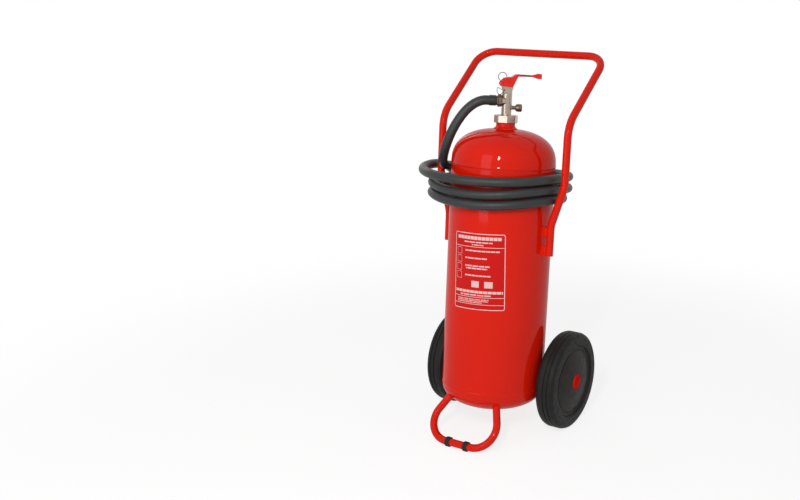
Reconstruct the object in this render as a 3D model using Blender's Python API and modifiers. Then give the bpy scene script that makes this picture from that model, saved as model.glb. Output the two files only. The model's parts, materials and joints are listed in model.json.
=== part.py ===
"""Wheeled powder fire extinguisher.

A welded steel cylinder with a lever valve on its neck, a bent tube handle, a tube foot, two
solid-tyred wheels on stub axles and a rubber hose that is wound round the shoulder and ends in
a discharge gun clipped to the back.

Units are metres. Every fixed piece is placed in the cylinder's own frame: its axis is Z, its
lowest point is z = 0, -Y is the front and +Y is the side that the handle and wheels are on. The
whole machine then leans back about X until the wheels and the foot both touch the floor.
"""
import math

import bmesh
import bpy
import numpy as np
from mathutils import Matrix, Vector

NAME = "wheeled_fire_extinguisher"

# ---------------------------------------------------------------- driving dimensions
SEAT_GAP = 0.0003            # left between two pieces that touch

TANK_RADIUS = 0.150
TANK_WALL = 0.003
TANK_STRAIGHT = 0.649        # length of the parallel shell between the two heads
HEAD_TOP_DEPTH = 0.1004
HEAD_TOP_POWER = 2.5         # 2 is an ellipse, more is a flatter crown with a tighter knuckle
HEAD_BOTTOM_DEPTH = 0.0691
HEAD_BOTTOM_POWER = 2.3
SEAM_WIDTH = 0.007           # circumferential weld beads
SEAM_HEIGHT = 0.0007
TANK_STEPS = 36

NECK_RADIUS = 0.0272
NECK_BORE_RADIUS = 0.0170
NECK_HEIGHT = 0.0285         # above the crown of the head
NECK_HOLE_RADIUS = 0.0205    # hole in the head that the neck's spigot drops into
NECK_SPIGOT_LENGTH = 0.010
NECK_WELD = 0.008

TUBE_RADIUS = 0.011          # handle and foot are bent from one size of tube
TUBE_BORE_RADIUS = 0.009
TUBE_BORE_DEPTH = 0.025      # open ends of the handle tube
HANDLE_Y = -0.0117
ARM_LUG_GAP = 0.0105         # between the cylinder and the lower arms
ARM_JOG = 0.0354             # how far the arms step outwards to make room for the hose
ARM_END_Z = 0.4743
ARM_JOG_START_Z = 0.5601
ARM_JOG_END_Z = 0.6741
ARM_LEAN_Z = 0.8451
HANDLE_TOP_Y = 0.192
HANDLE_TOP_Z = 1.0332
HANDLE_TOP_HALF = 0.2100
HANDLE_JOG_BEND = 0.070
HANDLE_LEAN_BEND = 0.090
HANDLE_TOP_BEND = 0.055
LUG_HEIGHT = 0.026
LUG_WIDTH = 0.016
LUG_ABOVE_END = 0.0130       # lower lug's middle above the arm's end
LUG_SPACING = 0.0550

FOOT_FORWARD = 0.0282        # bar in front of the cylinder
FOOT_BAR_Z = -0.0773
FOOT_CORNER_INSET = 0.0136   # corners of the bent bar inside the cylinder's width
FOOT_LEG = Vector((-0.0638, 0.0823, 0.1216))    # from a corner of the foot to the bottom head
FOOT_BEND = 0.062
FOOT_PAD_X = 0.0300
FOOT_PAD_WIDTH = 0.014
FOOT_PAD_WALL = 0.0030

WHEEL_RADIUS = 0.1448
WHEEL_WIDTH = 0.0591
WHEEL_SIDE_GAP = 0.0112      # between the cylinder's side and the tyre
AXLE_LINE_INSET = 0.0428     # axle in front of the cylinder's back
WHEEL_Z = 0.0837
TYRE_DEPTH = 0.0388
RIM_WALL = 0.0070
RIM_WIDTH = 0.0490
WEB_THICKNESS = 0.0070
WEB_RECESS = 0.0070          # web face at the rim below the tyre's outer face
WEB_DOME = 0.0130            # the web swells outwards by this towards the hub
HUB_RADIUS = 0.0210
HUB_BORE_RADIUS = 0.0130
WHEEL_STEPS = 28
AXLE_RADIUS = 0.0100
AXLE_CLEARANCE = 0.0004
AXLE_END_PROUD = 0.0018      # axle's end outside the tyre's outer face
AXLE_TANK_GAP = 0.0048
WASHER_RADIUS = 0.0170
WASHER_THICKNESS = 0.0026
SPLIT_PIN_RADIUS = 0.0016
SPLIT_PIN_TURN = (0, 0, math.radians(10))
CAP_RADIUS = 0.0235
CAP_WALL = 0.0022
CAP_PROUD = 0.0095
CAP_SKIRT = 0.0050           # overlap of the cap on the hub
CAP_CLEARANCE = 0.0006       # round the cap in its recess
BOSS_RADIUS = 0.0170
BOSS_END_GAP = 0.0008
SADDLE_WALL = 0.0050
SADDLE_LOW_Z = 0.0520
SADDLE_HIGH_Z = 0.1320
SADDLE_START = math.radians(22)

VALVE_TURN = math.radians(42)   # the lever and gauge point this way, the outlet the other way
COLLAR_CORNER_RADIUS = 0.0340
COLLAR_TURN = math.radians(-5)
COLLAR_HEIGHT = 0.0230
COLLAR_PLATE = 0.0042
GASKET_THICKNESS = 0.0020
FLANGE_THICKNESS = 0.0030
VALVE_RADIUS = 0.0146
VALVE_HEAD_RADIUS = 0.0165
VALVE_HEAD_Z = 0.0830        # start of the wider head, above the neck
VALVE_SHOULDER_Z = 0.0925    # above the neck
VALVE_FLAT = 0.0104          # half width across the milled flats
FLAT_DEPTH = 0.0240
VALVE_BORE_RADIUS = 0.0095
SEAT_Z = 0.0340              # underside of the valve's seat, above the neck
SEAT_RADIUS = 0.0060
STEM_RADIUS = 0.0040
STEM_TRAVEL = 0.0040
POPPET_RADIUS = 0.0085
POPPET_THICKNESS = 0.0045
SEAL_THICKNESS = 0.0020
SPRING_WIRE = 0.0008
SPRING_TURNS = 5
SPRING_LENGTH = 0.0200
DIP_TUBE_RADIUS = 0.0125
DIP_TUBE_WALL = 0.0015
DIP_TUBE_FLOOR_GAP = 0.0250

PIVOT_HEIGHT = 0.0130        # lever pivot above the valve's shoulder
PIVOT_RADIUS = 0.0030
EAR_THICKNESS = 0.0038
EAR_RADIUS = 0.0075
CAM_BASE_RADIUS = 0.0070
CAM_HALF_WIDTH = 0.0060
LEVER_CHEEK = 0.0038
LEVER_ROOF_RADIUS = 0.0088   # underside of the web that joins the cheeks over the ears
LEVER_ARM_Z = 0.0163         # above the pivot
LEVER_ARM_THICKNESS = 0.0066
LEVER_ARM_WIDTH = 0.0090
LEVER_REACH = 0.0980
PADDLE_LENGTH = 0.0280
PADDLE_HEIGHT = 0.0150
LEVER_SWING = math.radians(90)
LEVER_SIDE = [               # side view of a cheek, from the pivot
    (-0.0160, -0.0165), (-0.0084, -0.0155), (0.0017, -0.0172), (0.0130, -0.0172),
    (0.0150, -0.0130), (0.0270, 0.0130), (0.0340, 0.0130), (0.0340, 0.0196), (0.0216, 0.0190),
    (0.0115, 0.0114), (0.0017, 0.0102), (-0.0098, 0.0080), (-0.0190, -0.0010),
    (-0.0235, -0.0070), (-0.0200, -0.0130)]

PIN_RADIUS = 0.0018
PIN_X = -0.0118              # from the pivot
PIN_Z = -0.0018
PIN_ENGAGEMENT = 0.0020      # of the pin in the rear ear
PIN_CLEARANCE = 0.0008       # round the pin in the lever's cheek
PIN_TAPER = 0.0015
PIN_BOSS_RADIUS = 0.0040
PIN_HEAD_RADIUS = 0.0034
PIN_HEAD_LENGTH = 0.0075
PIN_EYE_RADIUS = 0.0019
RING_RADIUS = 0.0122
RING_WIRE = 0.0009
SEAL_WIRE = 0.0005
SEAL_HOLE_RADIUS = 0.0019
SEAL_HOLE_X = -0.0100
SEAL_HOLE_Z = -0.0256        # from the pivot

OUTLET_Z = 0.0492            # above the neck
OUTLET_BOSS_RADIUS = 0.0155
OUTLET_SPIGOT_RADIUS = 0.0100
OUTLET_BORE_RADIUS = 0.0070
OUTLET_SPIGOT_END = 0.0240   # along the outlet, from the valve's axis
NUT_START = 0.0160
NUT_END = 0.0270
NUT_CORNER_RADIUS = 0.0175
FERRULE_LENGTH = 0.0190
FERRULE_WALL = 0.0010
HOSE_START = 0.0313
HOSE_LEAD = 0.005            # straight run beyond a sleeve

GAUGE_Z = 0.0309             # above the neck
GAUGE_START = 0.0150
GAUGE_NIPPLE_RADIUS = 0.0055
GAUGE_BACK = 0.0255
GAUGE_FACE = 0.0435
GAUGE_RADIUS = 0.0110
GAUGE_WALL = 0.0012
DIAL_THICKNESS = 0.0008
LENS_THICKNESS = 0.0012

HOSE_RADIUS = 0.0135
HOSE_BORE_RADIUS = 0.0095

GUN_X = 0.020
GUN_STANDOFF = 0.034         # gun's axis behind the cylinder
GUN_INLET_Z = 0.352
GUN_RADIUS = 0.0130
GUN_BARREL_LENGTH = 0.160
GUN_NOZZLE_LENGTH = 0.095
GUN_BORE_RADIUS = 0.0060
GUN_SPIGOT_LENGTH = 0.012    # of the body inside the nozzle
GUN_NUT_HEIGHT = 0.0140
NOZZLE_TIP_RADIUS = 0.0100
NOZZLE_BORE_RADIUS = 0.0055
BRACKET_WALL = 0.0030
BRACKET_HALF_HEIGHT = 0.0140
TRIGGER_PIVOT_OUT = 0.0280   # behind the gun's axis
TRIGGER_PIVOT_UP = 0.130     # above the inlet
TRIGGER_LENGTH = 0.105
TRIGGER_THICKNESS = 0.0060
TRIGGER_WIDTH = 0.0120
TRIGGER_PIN_RADIUS = 0.0025
CLIP_WALL = 0.0025
CLIP_WIDTH = 0.018
CLIP_OPENING = math.radians(62)
CLIP_LOW = 0.030             # above the inlet
CLIP_HIGH = 0.150

# ---------------------------------------------------------------- derived places
TANK_BOTTOM_Z = HEAD_BOTTOM_DEPTH
TANK_TOP_Z = TANK_BOTTOM_Z + TANK_STRAIGHT
CROWN_Z = TANK_TOP_Z + HEAD_TOP_DEPTH
NECK_TOP_Z = CROWN_Z + NECK_HEIGHT
ARM_LOW_X = TANK_RADIUS + ARM_LUG_GAP + TUBE_RADIUS
ARM_HIGH_X = ARM_LOW_X + ARM_JOG
LUG_LOW_Z = ARM_END_Z + LUG_ABOVE_END
LUG_HIGH_Z = LUG_LOW_Z + LUG_SPACING
FOOT_BAR_Y = -(TANK_RADIUS + FOOT_FORWARD)
FOOT_CORNER_X = TANK_RADIUS - FOOT_CORNER_INSET
WHEEL_OUTER_X = TANK_RADIUS + WHEEL_SIDE_GAP + WHEEL_WIDTH
WHEEL_CENTRE_X = WHEEL_OUTER_X - WHEEL_WIDTH / 2
WHEEL_Y = TANK_RADIUS - AXLE_LINE_INSET
RIM_RADIUS = WHEEL_RADIUS - TYRE_DEPTH
AXLE_END_X = WHEEL_OUTER_X + AXLE_END_PROUD
AXLE_INNER_X = AXLE_TANK_GAP + math.sqrt(TANK_RADIUS ** 2 - (WHEEL_Y - AXLE_RADIUS) ** 2)
CAP_OUTER_X = WHEEL_OUTER_X + CAP_PROUD
FOOT_PAD_RADIUS = TUBE_RADIUS + SEAT_GAP + FOOT_PAD_WALL
PIVOT_UP = VALVE_SHOULDER_Z + PIVOT_HEIGHT     # above the neck
CHEEK_FACE = VALVE_FLAT + SEAT_GAP + LEVER_CHEEK     # outer face of the lever's cheek
GUN_Y = TANK_RADIUS + GUN_STANDOFF
WEB_FACE_X = WHEEL_OUTER_X - WEB_RECESS
HUB_INNER_X = WHEEL_OUTER_X - WHEEL_WIDTH
HUB_OUTER_X = AXLE_END_X - 0.0070


def lean_angle():
    """Backward lean at which the tyres and the foot pads stand on one level."""
    rise = WHEEL_Z - FOOT_BAR_Z
    reach = WHEEL_Y - FOOT_BAR_Y
    drop = WHEEL_RADIUS - FOOT_PAD_RADIUS
    return math.acos(drop / math.hypot(rise, reach)) - math.atan2(reach, rise)


LEAN = lean_angle()


def leaned(y, z):
    """Height and depth of a point of the cylinder's frame once it leans, before centring."""
    depth = y * math.cos(LEAN) + z * math.sin(LEAN)
    height = z * math.cos(LEAN) - y * math.sin(LEAN)
    return depth, height


FRONT_DEPTH = leaned(FOOT_BAR_Y, FOOT_BAR_Z)[0] - FOOT_PAD_RADIUS
BACK_DEPTH = leaned(HANDLE_TOP_Y, HANDLE_TOP_Z)[0] + TUBE_RADIUS
CENTRE_SHIFT = -(FRONT_DEPTH + BACK_DEPTH) / 2
FLOOR_SHIFT = WHEEL_RADIUS - leaned(WHEEL_Y, WHEEL_Z)[1]

# ---------------------------------------------------------------- scene, collections, materials
for old in list(bpy.data.objects):
    bpy.data.objects.remove(old, do_unlink=True)

parts = bpy.data.collections.new(NAME)
cutters = bpy.data.collections.new("cutters")
bpy.context.scene.collection.children.link(parts)
bpy.context.scene.collection.children.link(cutters)


def material(name, colour, roughness, metallic=0.0):
    """A Principled material with one colour."""
    made = bpy.data.materials.new(name)
    made.use_nodes = True
    shader = made.node_tree.nodes["Principled BSDF"]
    shader.inputs["Base Color"].default_value = (*colour, 1.0)
    shader.inputs["Roughness"].default_value = roughness
    shader.inputs["Metallic"].default_value = metallic
    return made


RED = material("red_enamel", (0.66, 0.016, 0.008), 0.25)
PLATED = material("nickel_plated_brass", (0.62, 0.56, 0.47), 0.25, 1.0)
BRASS = material("plain_brass", (0.58, 0.42, 0.16), 0.35, 1.0)
STEEL = material("zinc_plated_steel", (0.55, 0.55, 0.56), 0.35, 1.0)
RUBBER = material("black_rubber", (0.018, 0.018, 0.019), 0.75)
HOSE_RUBBER = material("hose_rubber", (0.030, 0.032, 0.034), 0.6)
PLASTIC = material("dark_plastic", (0.035, 0.035, 0.037), 0.5)
WHITE = material("white_dial", (0.85, 0.85, 0.83), 0.5)
CLEAR = material("clear_lens", (0.90, 0.92, 0.93), 0.1)


# ---------------------------------------------------------------- frames
def frame(name, parent=None, location=(0, 0, 0), rotation=(0, 0, 0)):
    """An empty that carries pieces."""
    made = bpy.data.objects.new(name, None)
    made.empty_display_size = 0.05
    made.parent = parent
    made.location = location
    made.rotation_euler = rotation
    parts.objects.link(made)
    return made


STAND = frame("cylinder_frame", None, (0, CENTRE_SHIFT, FLOOR_SHIFT), (-LEAN, 0, 0))
VALVE = frame("valve_frame", STAND, (0, 0, NECK_TOP_Z), (0, 0, VALVE_TURN))


# ---------------------------------------------------------------- modelling helpers
def piece(name, mesh, surface, parent=STAND, location=(0, 0, 0), rotation=(0, 0, 0)):
    """Link a mesh or curve as a named piece of the object."""
    made = bpy.data.objects.new(name, mesh)
    if surface is not None:
        mesh.materials.append(surface)
    made.parent = parent
    made.location = location
    made.rotation_euler = rotation
    parts.objects.link(made)
    return made


def as_cutter(made):
    """Move a piece to the cutters, hidden from renders."""
    parts.objects.unlink(made)
    cutters.objects.link(made)
    made.hide_render = True
    made.display_type = "WIRE"
    return made


def turned(name, profile, surface, steps=32, closed=False, **place):
    """Revolve a profile of (radius, height) about Z; its outer side runs top to bottom."""
    mesh = bpy.data.meshes.new(name)
    points = [(radius, 0.0, height) for radius, height in profile]
    edges = [(i, i + 1) for i in range(len(points) - 1)]
    if closed:
        edges.append((len(points) - 1, 0))
    mesh.from_pydata(points, edges, [])
    made = piece(name, mesh, surface, **place)
    screw = made.modifiers.new("turn", "SCREW")
    screw.axis = "Z"
    screw.angle = math.tau
    screw.steps = steps
    screw.render_steps = steps
    screw.use_merge_vertices = True
    screw.merge_threshold = 0.00001
    screw.use_smooth_shade = True
    return made


def box(name, size, centre, surface, parent=STAND, rotation=(0, 0, 0), bevel=0.0):
    """A rectangular block, with rounded edges where a bevel is given."""
    mesh = bpy.data.meshes.new(name)
    shape = bmesh.new()
    bmesh.ops.create_cube(shape, size=1.0, matrix=Matrix.Diagonal((*size, 1.0)))
    shape.to_mesh(mesh)
    shape.free()
    made = piece(name, mesh, surface, parent, centre, rotation)
    if bevel > 0:
        rounded = made.modifiers.new("rounded_edges", "BEVEL")
        rounded.width = bevel
        rounded.segments = 2
        rounded.limit_method = "ANGLE"
    return made


def rod(name, radius, length, centre, surface, parent=STAND, rotation=(0, 0, 0), sides=20):
    """A plain round rod along its own Z."""
    mesh = bpy.data.meshes.new(name)
    shape = bmesh.new()
    bmesh.ops.create_cone(
        shape, cap_ends=True, segments=sides, radius1=radius, radius2=radius, depth=length)
    shape.to_mesh(mesh)
    shape.free()
    return piece(name, mesh, surface, parent, centre, rotation)


def wire(name, points, radius, surface, sides=8, closed=False, **place):
    """A round tube along a list of points."""
    curve = bpy.data.curves.new(name, "CURVE")
    curve.dimensions = "3D"
    curve.bevel_depth = radius
    curve.bevel_resolution = (sides - 4) // 2
    curve.use_fill_caps = not closed
    spline = curve.splines.new("POLY")
    spline.points.add(len(points) - 1)
    for slot, point in zip(spline.points, points):
        slot.co = (*point, 1.0)
    spline.use_cyclic_u = closed
    return piece(name, curve, surface, **place)


def plate(name, outline, thickness, surface, **place):
    """A flat outline in its own XY plane, of a thickness centred on that plane."""
    curve = bpy.data.curves.new(name, "CURVE")
    curve.dimensions = "2D"
    curve.fill_mode = "BOTH"
    curve.extrude = thickness / 2
    spline = curve.splines.new("POLY")
    spline.points.add(len(outline) - 1)
    for slot, (x, y) in zip(spline.points, outline):
        slot.co = (x, y, 0.0, 1.0)
    spline.use_cyclic_u = True
    return piece(name, curve, surface, **place)


def as_mesh(made):
    """Turn a curve piece into a closed mesh piece in the same place."""
    bpy.context.view_layer.update()
    graph = bpy.context.evaluated_depsgraph_get()
    mesh = bpy.data.meshes.new_from_object(made.evaluated_get(graph))
    shape = bmesh.new()
    shape.from_mesh(mesh)
    bmesh.ops.remove_doubles(shape, verts=shape.verts, dist=0.00001)
    bmesh.ops.recalc_face_normals(shape, faces=shape.faces)
    shape.to_mesh(mesh)
    shape.free()
    name = made.name
    made.name = name + "_curve"
    swapped = bpy.data.objects.new(name, mesh)
    swapped.parent = made.parent
    swapped.location = made.location
    swapped.rotation_euler = made.rotation_euler
    for home in list(made.users_collection):
        home.objects.link(swapped)
    bpy.data.objects.remove(made, do_unlink=True)
    return swapped


def boolean(made, other, operation):
    """Cut a piece with, or join it to, another object, which becomes a cutter."""
    if other.name in parts.objects:
        as_cutter(other)
    step = made.modifiers.new(operation.lower(), "BOOLEAN")
    step.operation = operation
    step.solver = "EXACT"
    step.object = other
    return made


def cut(made, *others):
    """Take other shapes away from a piece."""
    for other in others:
        boolean(made, other, "DIFFERENCE")
    return made


def join(made, *others):
    """Make other shapes part of a piece."""
    for other in others:
        boolean(made, other, "UNION")
    return made


def bent_path(corners, bends, step_angle=math.radians(14)):
    """Points along straight runs whose inner corners are rounded by the given bend radii."""
    corners = [Vector(corner) for corner in corners]
    path = [corners[0]]
    for before, corner, after, bend in zip(corners, corners[1:], corners[2:], bends):
        inward = (before - corner).normalized()
        outward = (after - corner).normalized()
        half = inward.angle(outward) / 2
        centre = corner + (inward + outward).normalized() * bend / math.sin(half)
        start = corner + inward * bend / math.tan(half) - centre
        turn = math.pi - 2 * half
        steps = math.ceil(turn / step_angle)
        spin = inward.cross(outward)
        for step in range(steps + 1):
            path.append(centre + Matrix.Rotation(-turn * step / steps, 3, spin) @ start)
    path.append(corners[-1])
    return path


def arc(radius, start, end, steps, centre=(0.0, 0.0)):
    """Points on an arc in a plane, ends included."""
    angles = [start + (end - start) * i / steps for i in range(steps + 1)]
    return [(centre[0] + radius * math.cos(a), centre[1] + radius * math.sin(a)) for a in angles]


def smooth(points, spacing):
    """Points at even steps along a curve of continuous curvature through the given ones."""
    knots = np.array([tuple(point) for point in points])
    spans = np.linalg.norm(np.diff(knots, axis=0), axis=1)
    count = len(knots)
    system = np.eye(count)
    load = np.zeros((count, 3))
    for i in range(1, count - 1):
        before, after = spans[i - 1], spans[i]
        system[i, i - 1:i + 2] = before, 2 * (before + after), after
        load[i] = 6 * ((knots[i + 1] - knots[i]) / after - (knots[i] - knots[i - 1]) / before)
    bending = np.linalg.solve(system, load)
    fine = [knots[0]]
    for i, span in enumerate(spans):
        for t in np.linspace(0, 1, 25)[1:]:
            rest = 1 - t
            fine.append(rest * knots[i] + t * knots[i + 1] + span ** 2 / 6
                        * ((rest ** 3 - rest) * bending[i] + (t ** 3 - t) * bending[i + 1]))
    fine = np.array(fine)
    walked = np.concatenate([[0], np.cumsum(np.linalg.norm(np.diff(fine, axis=0), axis=1))])
    stops = np.linspace(0, walked[-1], round(walked[-1] / spacing) + 1)
    return [Vector(np.interp(stop, walked, fine[:, k]) for k in range(3)) for stop in stops]


SIDEWAYS = (0, math.pi / 2, 0)     # turns an object's own Z to +X
MIRRORED = (0, -math.pi / 2, 0)    # turns it to -X
UPRIGHT = (math.pi / 2, 0, 0)      # turns an XY outline to stand in XZ, its own Z to -Y


# ---------------------------------------------------------------- pressure cylinder
def head_height(radius, rim, depth, power):
    """Height of a dished head above its rim, at a radius."""
    share = min(abs(radius) / rim, 1.0)
    return depth * (1 - share ** power) ** (1 / power)


def head_curve(rim, depth, power, inner_radius, count):
    """(radius, height) points from the inner radius out to the rim."""
    start = math.acos(min(inner_radius / rim, 1.0) ** (power / 2))
    points = []
    for i in range(count):
        angle = start * (1 - i / count)
        radius = rim * math.cos(angle) ** (2 / power)
        points.append((radius, head_height(radius, rim, depth, power)))
    return points


def tank_outline(offset, hole):
    """Outer side of the cylinder, top to bottom, grown by an offset."""
    rim = TANK_RADIUS + offset
    profile = []
    for radius, height in head_curve(rim, HEAD_TOP_DEPTH + offset, HEAD_TOP_POWER, hole, 7):
        profile.append((radius, TANK_TOP_Z + height))
    for seam_z in (TANK_TOP_Z, TANK_BOTTOM_Z):
        profile.append((rim, seam_z + SEAM_WIDTH / 2))
        profile.append((rim + SEAM_HEIGHT, seam_z))
        profile.append((rim, seam_z - SEAM_WIDTH / 2))
    lower = head_curve(rim, HEAD_BOTTOM_DEPTH + offset, HEAD_BOTTOM_POWER, 0.0, 6)
    for radius, height in reversed(lower):
        profile.append((radius, TANK_BOTTOM_Z - height))
    return [point for i, point in enumerate(profile) if i == 0 or point != profile[i - 1]]


def make_tank():
    """Hollow steel cylinder, open only at the hole for the neck."""
    inner_rim = TANK_RADIUS - TANK_WALL
    inside = []
    for radius, height in head_curve(
            inner_rim, HEAD_BOTTOM_DEPTH - TANK_WALL, HEAD_BOTTOM_POWER, 0.0, 4):
        inside.append((radius, TANK_BOTTOM_Z - height))
    inside.append((inner_rim, TANK_BOTTOM_Z))
    inside.append((inner_rim, TANK_TOP_Z))
    upper = head_curve(
        inner_rim, HEAD_TOP_DEPTH - TANK_WALL, HEAD_TOP_POWER, NECK_HOLE_RADIUS, 4)
    for radius, height in reversed(upper):
        inside.append((radius, TANK_TOP_Z + height))
    outside = tank_outline(0.0, NECK_HOLE_RADIUS)
    turned("cylinder_shell", inside + outside, RED, TANK_STEPS)


def tank_space():
    """Cutter that keeps a seat gap round the outside of the cylinder."""
    return as_cutter(turned("tank_space", tank_outline(SEAT_GAP, 0.0), None, TANK_STEPS))


def make_neck():
    """Threaded ring welded into the top head, with its weld fillet following the crown."""
    hub = NECK_HOLE_RADIUS - SEAT_GAP

    def crown(radius):
        rise = head_height(radius, TANK_RADIUS, HEAD_TOP_DEPTH, HEAD_TOP_POWER)
        return TANK_TOP_Z + rise + SEAT_GAP

    profile = [
        (NECK_BORE_RADIUS, NECK_TOP_Z),
        (NECK_RADIUS - 0.0015, NECK_TOP_Z),
        (NECK_RADIUS, NECK_TOP_Z - 0.0015),
        (NECK_RADIUS, CROWN_Z + NECK_WELD),
        (NECK_RADIUS + NECK_WELD * 0.35, CROWN_Z + NECK_WELD * 0.35),
        (NECK_RADIUS + NECK_WELD, crown(NECK_RADIUS + NECK_WELD) + 0.0003),
        (NECK_RADIUS + NECK_WELD, crown(NECK_RADIUS + NECK_WELD)),
        (hub, crown(hub)),
        (hub, CROWN_Z - NECK_SPIGOT_LENGTH),
        (NECK_BORE_RADIUS, CROWN_Z - NECK_SPIGOT_LENGTH),
    ]
    turned("neck_ring", profile, RED, 24, closed=True)


# ---------------------------------------------------------------- handle and foot
def handle_corners():
    """Corners of the bent handle tube, from the end of one arm to the end of the other."""
    side = [
        (ARM_LOW_X, HANDLE_Y, ARM_END_Z),
        (ARM_LOW_X, HANDLE_Y, ARM_JOG_START_Z),
        (ARM_HIGH_X, HANDLE_Y, ARM_JOG_END_Z),
        (ARM_HIGH_X, HANDLE_Y, ARM_LEAN_Z),
        (HANDLE_TOP_HALF, HANDLE_TOP_Y, HANDLE_TOP_Z),
    ]
    return side + [(-x, y, z) for x, y, z in reversed(side)]


def make_handle():
    """Push handle, bent from one tube, with open lower ends."""
    bends = [HANDLE_JOG_BEND, HANDLE_JOG_BEND, HANDLE_LEAN_BEND, HANDLE_TOP_BEND]
    path = bent_path(handle_corners(), bends + bends[::-1])
    handle = as_mesh(wire("handle_frame", path, TUBE_RADIUS, RED, 12))
    for side in (-1, 1):
        bore = rod("handle_bore", TUBE_BORE_RADIUS, TUBE_BORE_DEPTH * 2,
                   (side * ARM_LOW_X, HANDLE_Y, ARM_END_Z), None, sides=12)
        cut(handle, bore)


def make_lugs(space):
    """Four blocks that carry the arms on the cylinder."""
    length = ARM_LOW_X - TANK_RADIUS + 0.010
    for side_name, side in (("left", -1), ("right", 1)):
        arm = rod("arm_space_" + side_name, TUBE_RADIUS + SEAT_GAP, 0.20,
                  (side * ARM_LOW_X, HANDLE_Y, (LUG_LOW_Z + LUG_HIGH_Z) / 2), None, sides=12)
        for level, height in (("low", LUG_LOW_Z), ("high", LUG_HIGH_Z)):
            centre = (side * (ARM_LOW_X - length / 2), HANDLE_Y, height)
            lug = box("arm_lug_" + level + "_" + side_name, (length, LUG_WIDTH, LUG_HEIGHT),
                      centre, RED)
            cut(lug, space, arm)


def make_foot(space):
    """Tube foot whose legs are shaped to the bottom head, with two rubber pads on its bar."""
    corner = Vector((FOOT_CORNER_X, FOOT_BAR_Y, FOOT_BAR_Z))
    side = [corner + FOOT_LEG, corner]
    corners = side + [Vector((-p.x, p.y, p.z)) for p in reversed(side)]
    path = bent_path(corners, [FOOT_BEND, FOOT_BEND])
    foot = as_mesh(wire("foot_loop", path, TUBE_RADIUS, RED, 12))
    cut(foot, space)
    inner = TUBE_RADIUS + SEAT_GAP
    half = FOOT_PAD_WIDTH / 2
    profile = [(inner, half), (FOOT_PAD_RADIUS - 0.0008, half), (FOOT_PAD_RADIUS, half - 0.001),
               (FOOT_PAD_RADIUS, 0.001 - half), (FOOT_PAD_RADIUS - 0.0008, -half), (inner, -half)]
    for name, x in (("foot_pad_left", -FOOT_PAD_X), ("foot_pad_right", FOOT_PAD_X)):
        turned(name, profile, RUBBER, 12, closed=True,
               location=(x, FOOT_BAR_Y, FOOT_BAR_Z), rotation=SIDEWAYS)


# ---------------------------------------------------------------- wheels
def make_saddle(space):
    """Curved plate on the back of the cylinder with a boss for each stub axle."""
    inner = TANK_RADIUS + SEAT_GAP / 2
    outer = TANK_RADIUS + SADDLE_WALL
    end = math.pi - SADDLE_START
    outline = arc(outer, SADDLE_START, end, 14) + arc(inner, end, SADDLE_START, 14)
    middle = (SADDLE_LOW_Z + SADDLE_HIGH_Z) / 2
    saddle = as_mesh(plate("axle_saddle", outline, SADDLE_HIGH_Z - SADDLE_LOW_Z, RED,
                           location=(0, 0, middle)))
    boss_end = HUB_INNER_X - WASHER_THICKNESS - BOSS_END_GAP - SEAT_GAP
    boss_start = AXLE_INNER_X - 0.028
    for side in (-1, 1):
        boss = rod("axle_boss", BOSS_RADIUS, boss_end - boss_start,
                   (side * (boss_end + boss_start) / 2, WHEEL_Y, WHEEL_Z), None,
                   rotation=SIDEWAYS, sides=18)
        join(saddle, boss)
    cut(saddle, space)
    for side in (-1, 1):
        bore_start = AXLE_INNER_X - SEAT_GAP
        bore = rod("axle_bore", AXLE_RADIUS + SEAT_GAP, 0.060,
                   (side * (bore_start + 0.030), WHEEL_Y, WHEEL_Z), None,
                   rotation=SIDEWAYS, sides=20)
        cut(saddle, bore)


def tyre_profile():
    """Section of the solid tyre, the outer face upwards."""
    half = WHEEL_WIDTH / 2
    seat = RIM_RADIUS + SEAT_GAP
    shoulder = [
        (seat, half - 0.0040), (seat + 0.0040, half), (WHEEL_RADIUS - 0.0110, half - 0.0010),
        (WHEEL_RADIUS - 0.0032, half - 0.0060), (WHEEL_RADIUS, half - 0.0135),
    ]
    return shoulder + [(radius, -height) for radius, height in reversed(shoulder)]


def disc_profile():
    """Section of the wheel's centre in local height from the wheel's middle plane."""
    middle = WHEEL_CENTRE_X
    rim_half = RIM_WIDTH / 2
    web_out = WEB_FACE_X - middle
    web_in = web_out - WEB_THICKNESS
    hub_out = HUB_OUTER_X - middle
    hub_in = HUB_INNER_X - middle
    skirt = HUB_OUTER_X - CAP_SKIRT - middle - 2 * SEAT_GAP
    rim_in = RIM_RADIUS - RIM_WALL
    recess = CAP_RADIUS + CAP_CLEARANCE
    halfway = (recess + rim_in) / 2
    return [
        (HUB_BORE_RADIUS, hub_out), (HUB_RADIUS, hub_out), (HUB_RADIUS, skirt), (recess, skirt),
        (recess, web_out + WEB_DOME), (halfway, web_out + WEB_DOME * 0.68), (rim_in, web_out),
        (rim_in, rim_half), (RIM_RADIUS, rim_half), (RIM_RADIUS, -rim_half),
        (rim_in, -rim_half), (rim_in, web_in), (halfway, web_in + WEB_DOME * 0.5),
        (recess + RIM_WALL, web_in + WEB_DOME * 0.5), (recess + RIM_WALL / 2, web_in - RIM_WALL / 2),
        (HUB_RADIUS, hub_in), (HUB_BORE_RADIUS, hub_in),
    ]


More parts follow.
